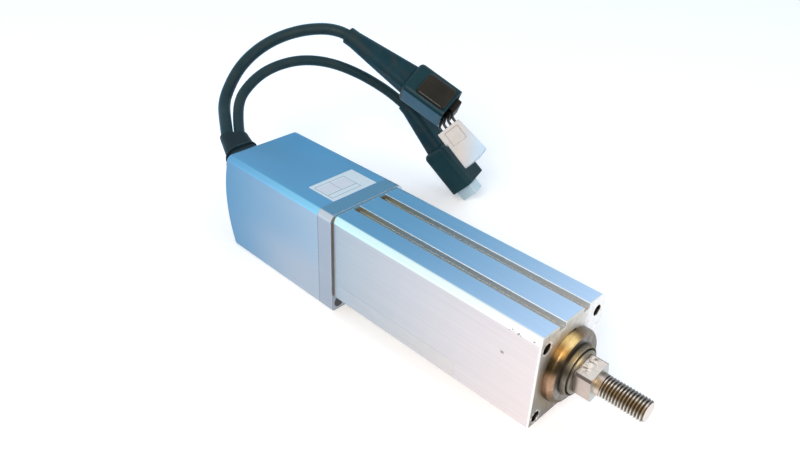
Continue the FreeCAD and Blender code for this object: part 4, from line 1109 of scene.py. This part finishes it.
# %% Finishes of the labels
PAPER_DARK = (0.50, 0.61, 0.68)
PAPER_PALE = (0.58, 0.68, 0.75)
BOX_TINT = (0.56, 0.50, 0.62)
INK = (0.05, 0.06, 0.08)
# The film follows the side's rear-to-front change of colour, a painted reflection of the sky.
FILM_REAR = (0.39, 0.47, 0.555)
FILM_FRONT = (0.62, 0.595, 0.60)
FILM_TONE = (0.90, 0.90, 0.91)
LINE_SOFT = 0.00004
LINE_THICK = 0.00028
RULED_X = (-0.1450, -0.1315)
RULED_Y = (-0.0120, 0.0072)


def box_mask(x, y, x_range, y_range, soft, inset=0.0):
    low_x, high_x = x_range
    low_y, high_y = y_range
    return x.window(low_x + inset, high_x - inset, soft) * y.window(low_y + inset, high_y - inset, soft)


def sticker_finish():
    material, tree = new_material("sticker_film")
    x, y = object_place(tree).parts()[:2]
    fibre = noise(tree, 900.0)
    outer = box_mask(x, y, RULED_X, RULED_Y, LINE_SOFT)
    inner = box_mask(x, y, RULED_X, RULED_Y, LINE_SOFT, LINE_THICK)
    middle = box_mask(x, y, (-0.1450, -0.1350), (-0.00255, -0.0023), LINE_SOFT)
    cross = x.window(-0.1352, -0.1348, 0.00005) * y.window(*RULED_Y, LINE_SOFT)
    ink = (outer - inner).either(middle.either(cross))
    cells = box_mask(x, y, (-0.1432, -0.1363), (-0.0115, 0.0065), 0.0002)
    paper = fibre.noisy().mix(PAPER_DARK, PAPER_PALE)
    return dress(material, {
        "Base Color": painted(paper, (cells * 0.35, BOX_TINT), (ink * 0.75, INK)),
        "Roughness": fibre.noisy(0.38, 0.50)})


def film_finish():
    material, tree = new_material("side_film")
    x = object_place(tree).parts()[0]
    rub = noise(tree, 1.0, (60, 400, 400), 4.0)
    film = x.spread(-0.115, -0.040, smooth=False).mix(FILM_REAR, FILM_FRONT)
    return dress(material, {
        "Base Color": rub.noisy(0.0, 0.4).shade(film, FILM_TONE),
        "Roughness": rub.noisy(0.30, 0.44), "Metallic": 0.8, "Coat Weight": 0.3})


sticker_paper = sticker_finish()
clear_film = film_finish()
print("label finishes:", sticker_paper.name, clear_film.name)

# %% [markdown]
# ## Window and labels
# The first hood has a polished window sunk in its upper face, and a dark insert that shows in its open
# end. These two and the labels are thin plates with round corners: an outline, its copy a thickness
# away, and a row of faces between them. The window's rim is rounded, so it catches the light.

# %% Window and labels
PANEL_PLACE = Vector((-0.16503, 0.09764, 0.04037))
PANEL_NORMAL = Vector((0.5201, -0.3231, 0.7906))
PANEL_HEADING = Vector((0.8488, 0.2981, -0.4367))
PANEL_ACROSS = PANEL_NORMAL.cross(PANEL_HEADING)
PANEL_LENGTH = 0.0196
PANEL_WIDTH = 0.0158
RIM_SEGMENTS = 4
RIM_DEGREES = 40


def round_corners(corners, steps):
    """A quarter circle at each of four corners; a corner is its circle's middle and radius."""
    points = []
    for quarter, (a, b, radius) in enumerate(corners):
        for step in range(steps + 1):
            angle = math.radians(90 * (quarter + step / steps))
            points.append((a + radius * math.cos(angle), b + radius * math.sin(angle)))
    return points


def bridge(work, loops):
    """A row of faces from each loop of points to the next."""
    for one, two in zip(loops, loops[1:]):
        for index in range(len(one)):
            work.faces.new((one[index - 1], one[index], two[index], two[index - 1]))


def closed_piece(name, work, finish, smooth=False, rim=0.0):
    """A finished form made a piece of the housing, with its normals outward."""
    bmesh.ops.recalc_face_normals(work, faces=work.faces)
    mesh = bpy.data.meshes.new(name)
    work.to_mesh(mesh)
    work.free()
    if smooth:
        mesh.shade_smooth()
    mesh.materials.append(finish)
    piece = bpy.data.objects.new(name, mesh)
    scene.collection.objects.link(piece)
    if rim:
        modifier = piece.modifiers.new("rim", "BEVEL")
        modifier.width = rim
        modifier.segments = RIM_SEGMENTS
        modifier.angle_limit = math.radians(RIM_DEGREES)
    tie(piece, "housing")
    print("made", name)
    return piece


def plate(name, finish, corner, long_side, short_side, normal, thickness, radius, rim=0.0):
    """A thin plate with round corners; corner is its first corner, the vectors are its two sides."""
    long_side, short_side = Vector(long_side), Vector(short_side)
    far_a, far_b = long_side.length - radius, short_side.length - radius
    one, two = long_side.normalized(), short_side.normalized()
    middles = ((far_a, far_b), (radius, far_b), (radius, radius), (far_a, radius))
    outline = round_corners([(*middle, radius) for middle in middles], 4)
    work = bmesh.new()
    places = [Vector(corner) + one * a + two * b for a, b in outline]
    low = [work.verts.new(place) for place in places]
    high = [work.verts.new(place + Vector(normal) * thickness) for place in places]
    work.faces.new(high)
    work.faces.new(low[::-1])
    bridge(work, [low, high])
    return closed_piece(name, work, finish, bool(rim), rim)


panel_finish = dull_finish(
    "polished_panel", (0.005, 0.004, 0.002), (0.013, 0.010, 0.005), (0.05, 0.09), 300.0, 0.02, 0.25)
throat_finish = dull_finish(
    "hood_throat", (0.006, 0.005, 0.005), (0.014, 0.010, 0.008), (0.40, 0.55), 300.0, 0.05, 0.2)
window_pad = plate(
    "hood_window", panel_finish,
    PANEL_PLACE - PANEL_HEADING * PANEL_LENGTH / 2 - PANEL_ACROSS * PANEL_WIDTH / 2,
    PANEL_HEADING * PANEL_LENGTH, PANEL_ACROSS * PANEL_WIDTH, PANEL_NORMAL, 0.0022, 0.0020, 0.0018)
throat = plate(
    "hood_throat", throat_finish,
    PANEL_PLACE + PANEL_HEADING * 0.0100 - PANEL_ACROSS * 0.0010 - PANEL_NORMAL * 0.0160,
    PANEL_HEADING * 0.0050, PANEL_ACROSS * 0.0090, PANEL_NORMAL, 0.0120, 0.0008, 0.0004)
plate(
    "top_sticker", sticker_paper,
    (-0.1475, -0.0135, 0.02540), (0.0187, 0, 0), (0, 0.0285, 0), (0, 0, 1), 0.00008, 0.0005)
plate(
    "side_film", clear_film,
    (-0.115, -0.02250, -0.0205), (0.075, 0, 0), (0, 0, 0.0080), (0, -1, 0), 0.00004, 0.0004)

# %% [markdown]
# ## Joint pieces
# A brown gasket closes the joint between the body and the front plate. It is a closed band that follows
# the rounded outline a little below the surface. A rubber bead stands round the cable gland; it is a
# round bar bent along an oval.

# %% Joint pieces
GASKET_DARK = (0.07, 0.048, 0.026)
GASKET_PALE = (0.22, 0.165, 0.10)
GASKET_TOP = (0.10, 0.26, 0.38)
LEAST_RADIUS = 0.0002
BEAD_FLAT = 0.0002
BEAD_SIDES = 10


def rounded_outline(half, top, bottom, top_radius, foot_radius, inset=0.0):
    """Points round a box's cross-section, drawn in by an inset."""
    high = max(top_radius - inset, LEAST_RADIUS)
    low = max(foot_radius - inset, LEAST_RADIUS)
    half, top, bottom = half - inset, top - inset - high, bottom + inset + low
    upper = ((half - high, top, high), (high - half, top, high))
    lower = ((low - half, bottom, low), (half - low, bottom, low))
    return round_corners(upper + lower, 6)


def gasket_finish():
    """Brown fibre at the sides; its upper edge is grey-blue like the body's top, a painted reflection of the
    sky.
    """
    material, tree = new_material("joint_gasket")
    z = object_place(tree).parts()[2]
    fibre = noise(tree, 700.0, (1, 1, 0.2), 4.0)
    brown = fibre.noisy().mix(GASKET_DARK, GASKET_PALE)
    return dress(material, {
        "Base Color": z.spread(0.0235, 0.0246).mix(brown, GASKET_TOP), "Roughness": fibre.noisy(0.5, 0.7)})


def joint_band(name, finish, rear, front, sizes, inset, depth):
    work = bmesh.new()
    loops = []
    for x, drawn_in in ((rear, inset), (front, inset), (front, inset + depth), (rear, inset + depth)):
        loops.append([work.verts.new((x, y, z)) for y, z in rounded_outline(*sizes, drawn_in)])
    bridge(work, loops + loops[:1])
    closed_piece(name, work, finish)


def lip_ring(name, finish, x, middle, half, height, thick):
    """A bead round the cable gland, made as a round bar bent along an oval."""
    radius = height - BEAD_FLAT
    outline = rounded_outline(half, height, -height, radius, radius)
    path = [Vector((x, *middle)) + Vector((0.0, *point)) for point in outline]
    angles = [2 * math.pi * side / BEAD_SIDES for side in range(BEAD_SIDES)]
    work = bmesh.new()
    loops = []
    for index, place in enumerate(path):
        run = path[(index + 1) % len(path)] - path[index - 1]
        out = Vector((0.0, run.z, -run.y)).normalized() * thick
        offsets = [out * math.cos(angle) + Vector((thick * math.sin(angle), 0.0, 0.0)) for angle in angles]
        loops.append([work.verts.new(place + offset) for offset in offsets])
    bridge(work, loops + loops[:1])
    closed_piece(name, work, finish, smooth=True)


joint_band(
    "joint_gasket", gasket_finish(), -0.11925, -0.11815,
    (0.0225, 0.0250, -0.0220, 0.0035, 0.0012), 0.0002, 0.004)
lip_ring(
    "gland_lip", finishes["black_rubber"], -0.2132, (-0.00755, 0.01690),
    0.0097, 0.0053, 0.0008)

# %% [markdown]
# ## Cable lengths
# The length of each cable is measured on a copy of the curve without its thickness.


def cable_length(item):
    bare = item.copy()
    bare.data = item.data.copy()
    bare.data.bevel_depth = 0.0
    scene.collection.objects.link(bare)
    bpy.context.view_layer.update()
    line = bpy.data.meshes.new_from_object(bare.evaluated_get(bpy.context.evaluated_depsgraph_get()))
    points = [vertex.co for vertex in line.vertices]
    bpy.data.objects.remove(bare)
    return sum((after - before).length for before, after in zip(points, points[1:]))


thick_length = cable_length(thick_cable)
thin_length = cable_length(thin_cable)
print("cable lengths:", round(thick_length, 4), round(thin_length, 4))

# %% [markdown]
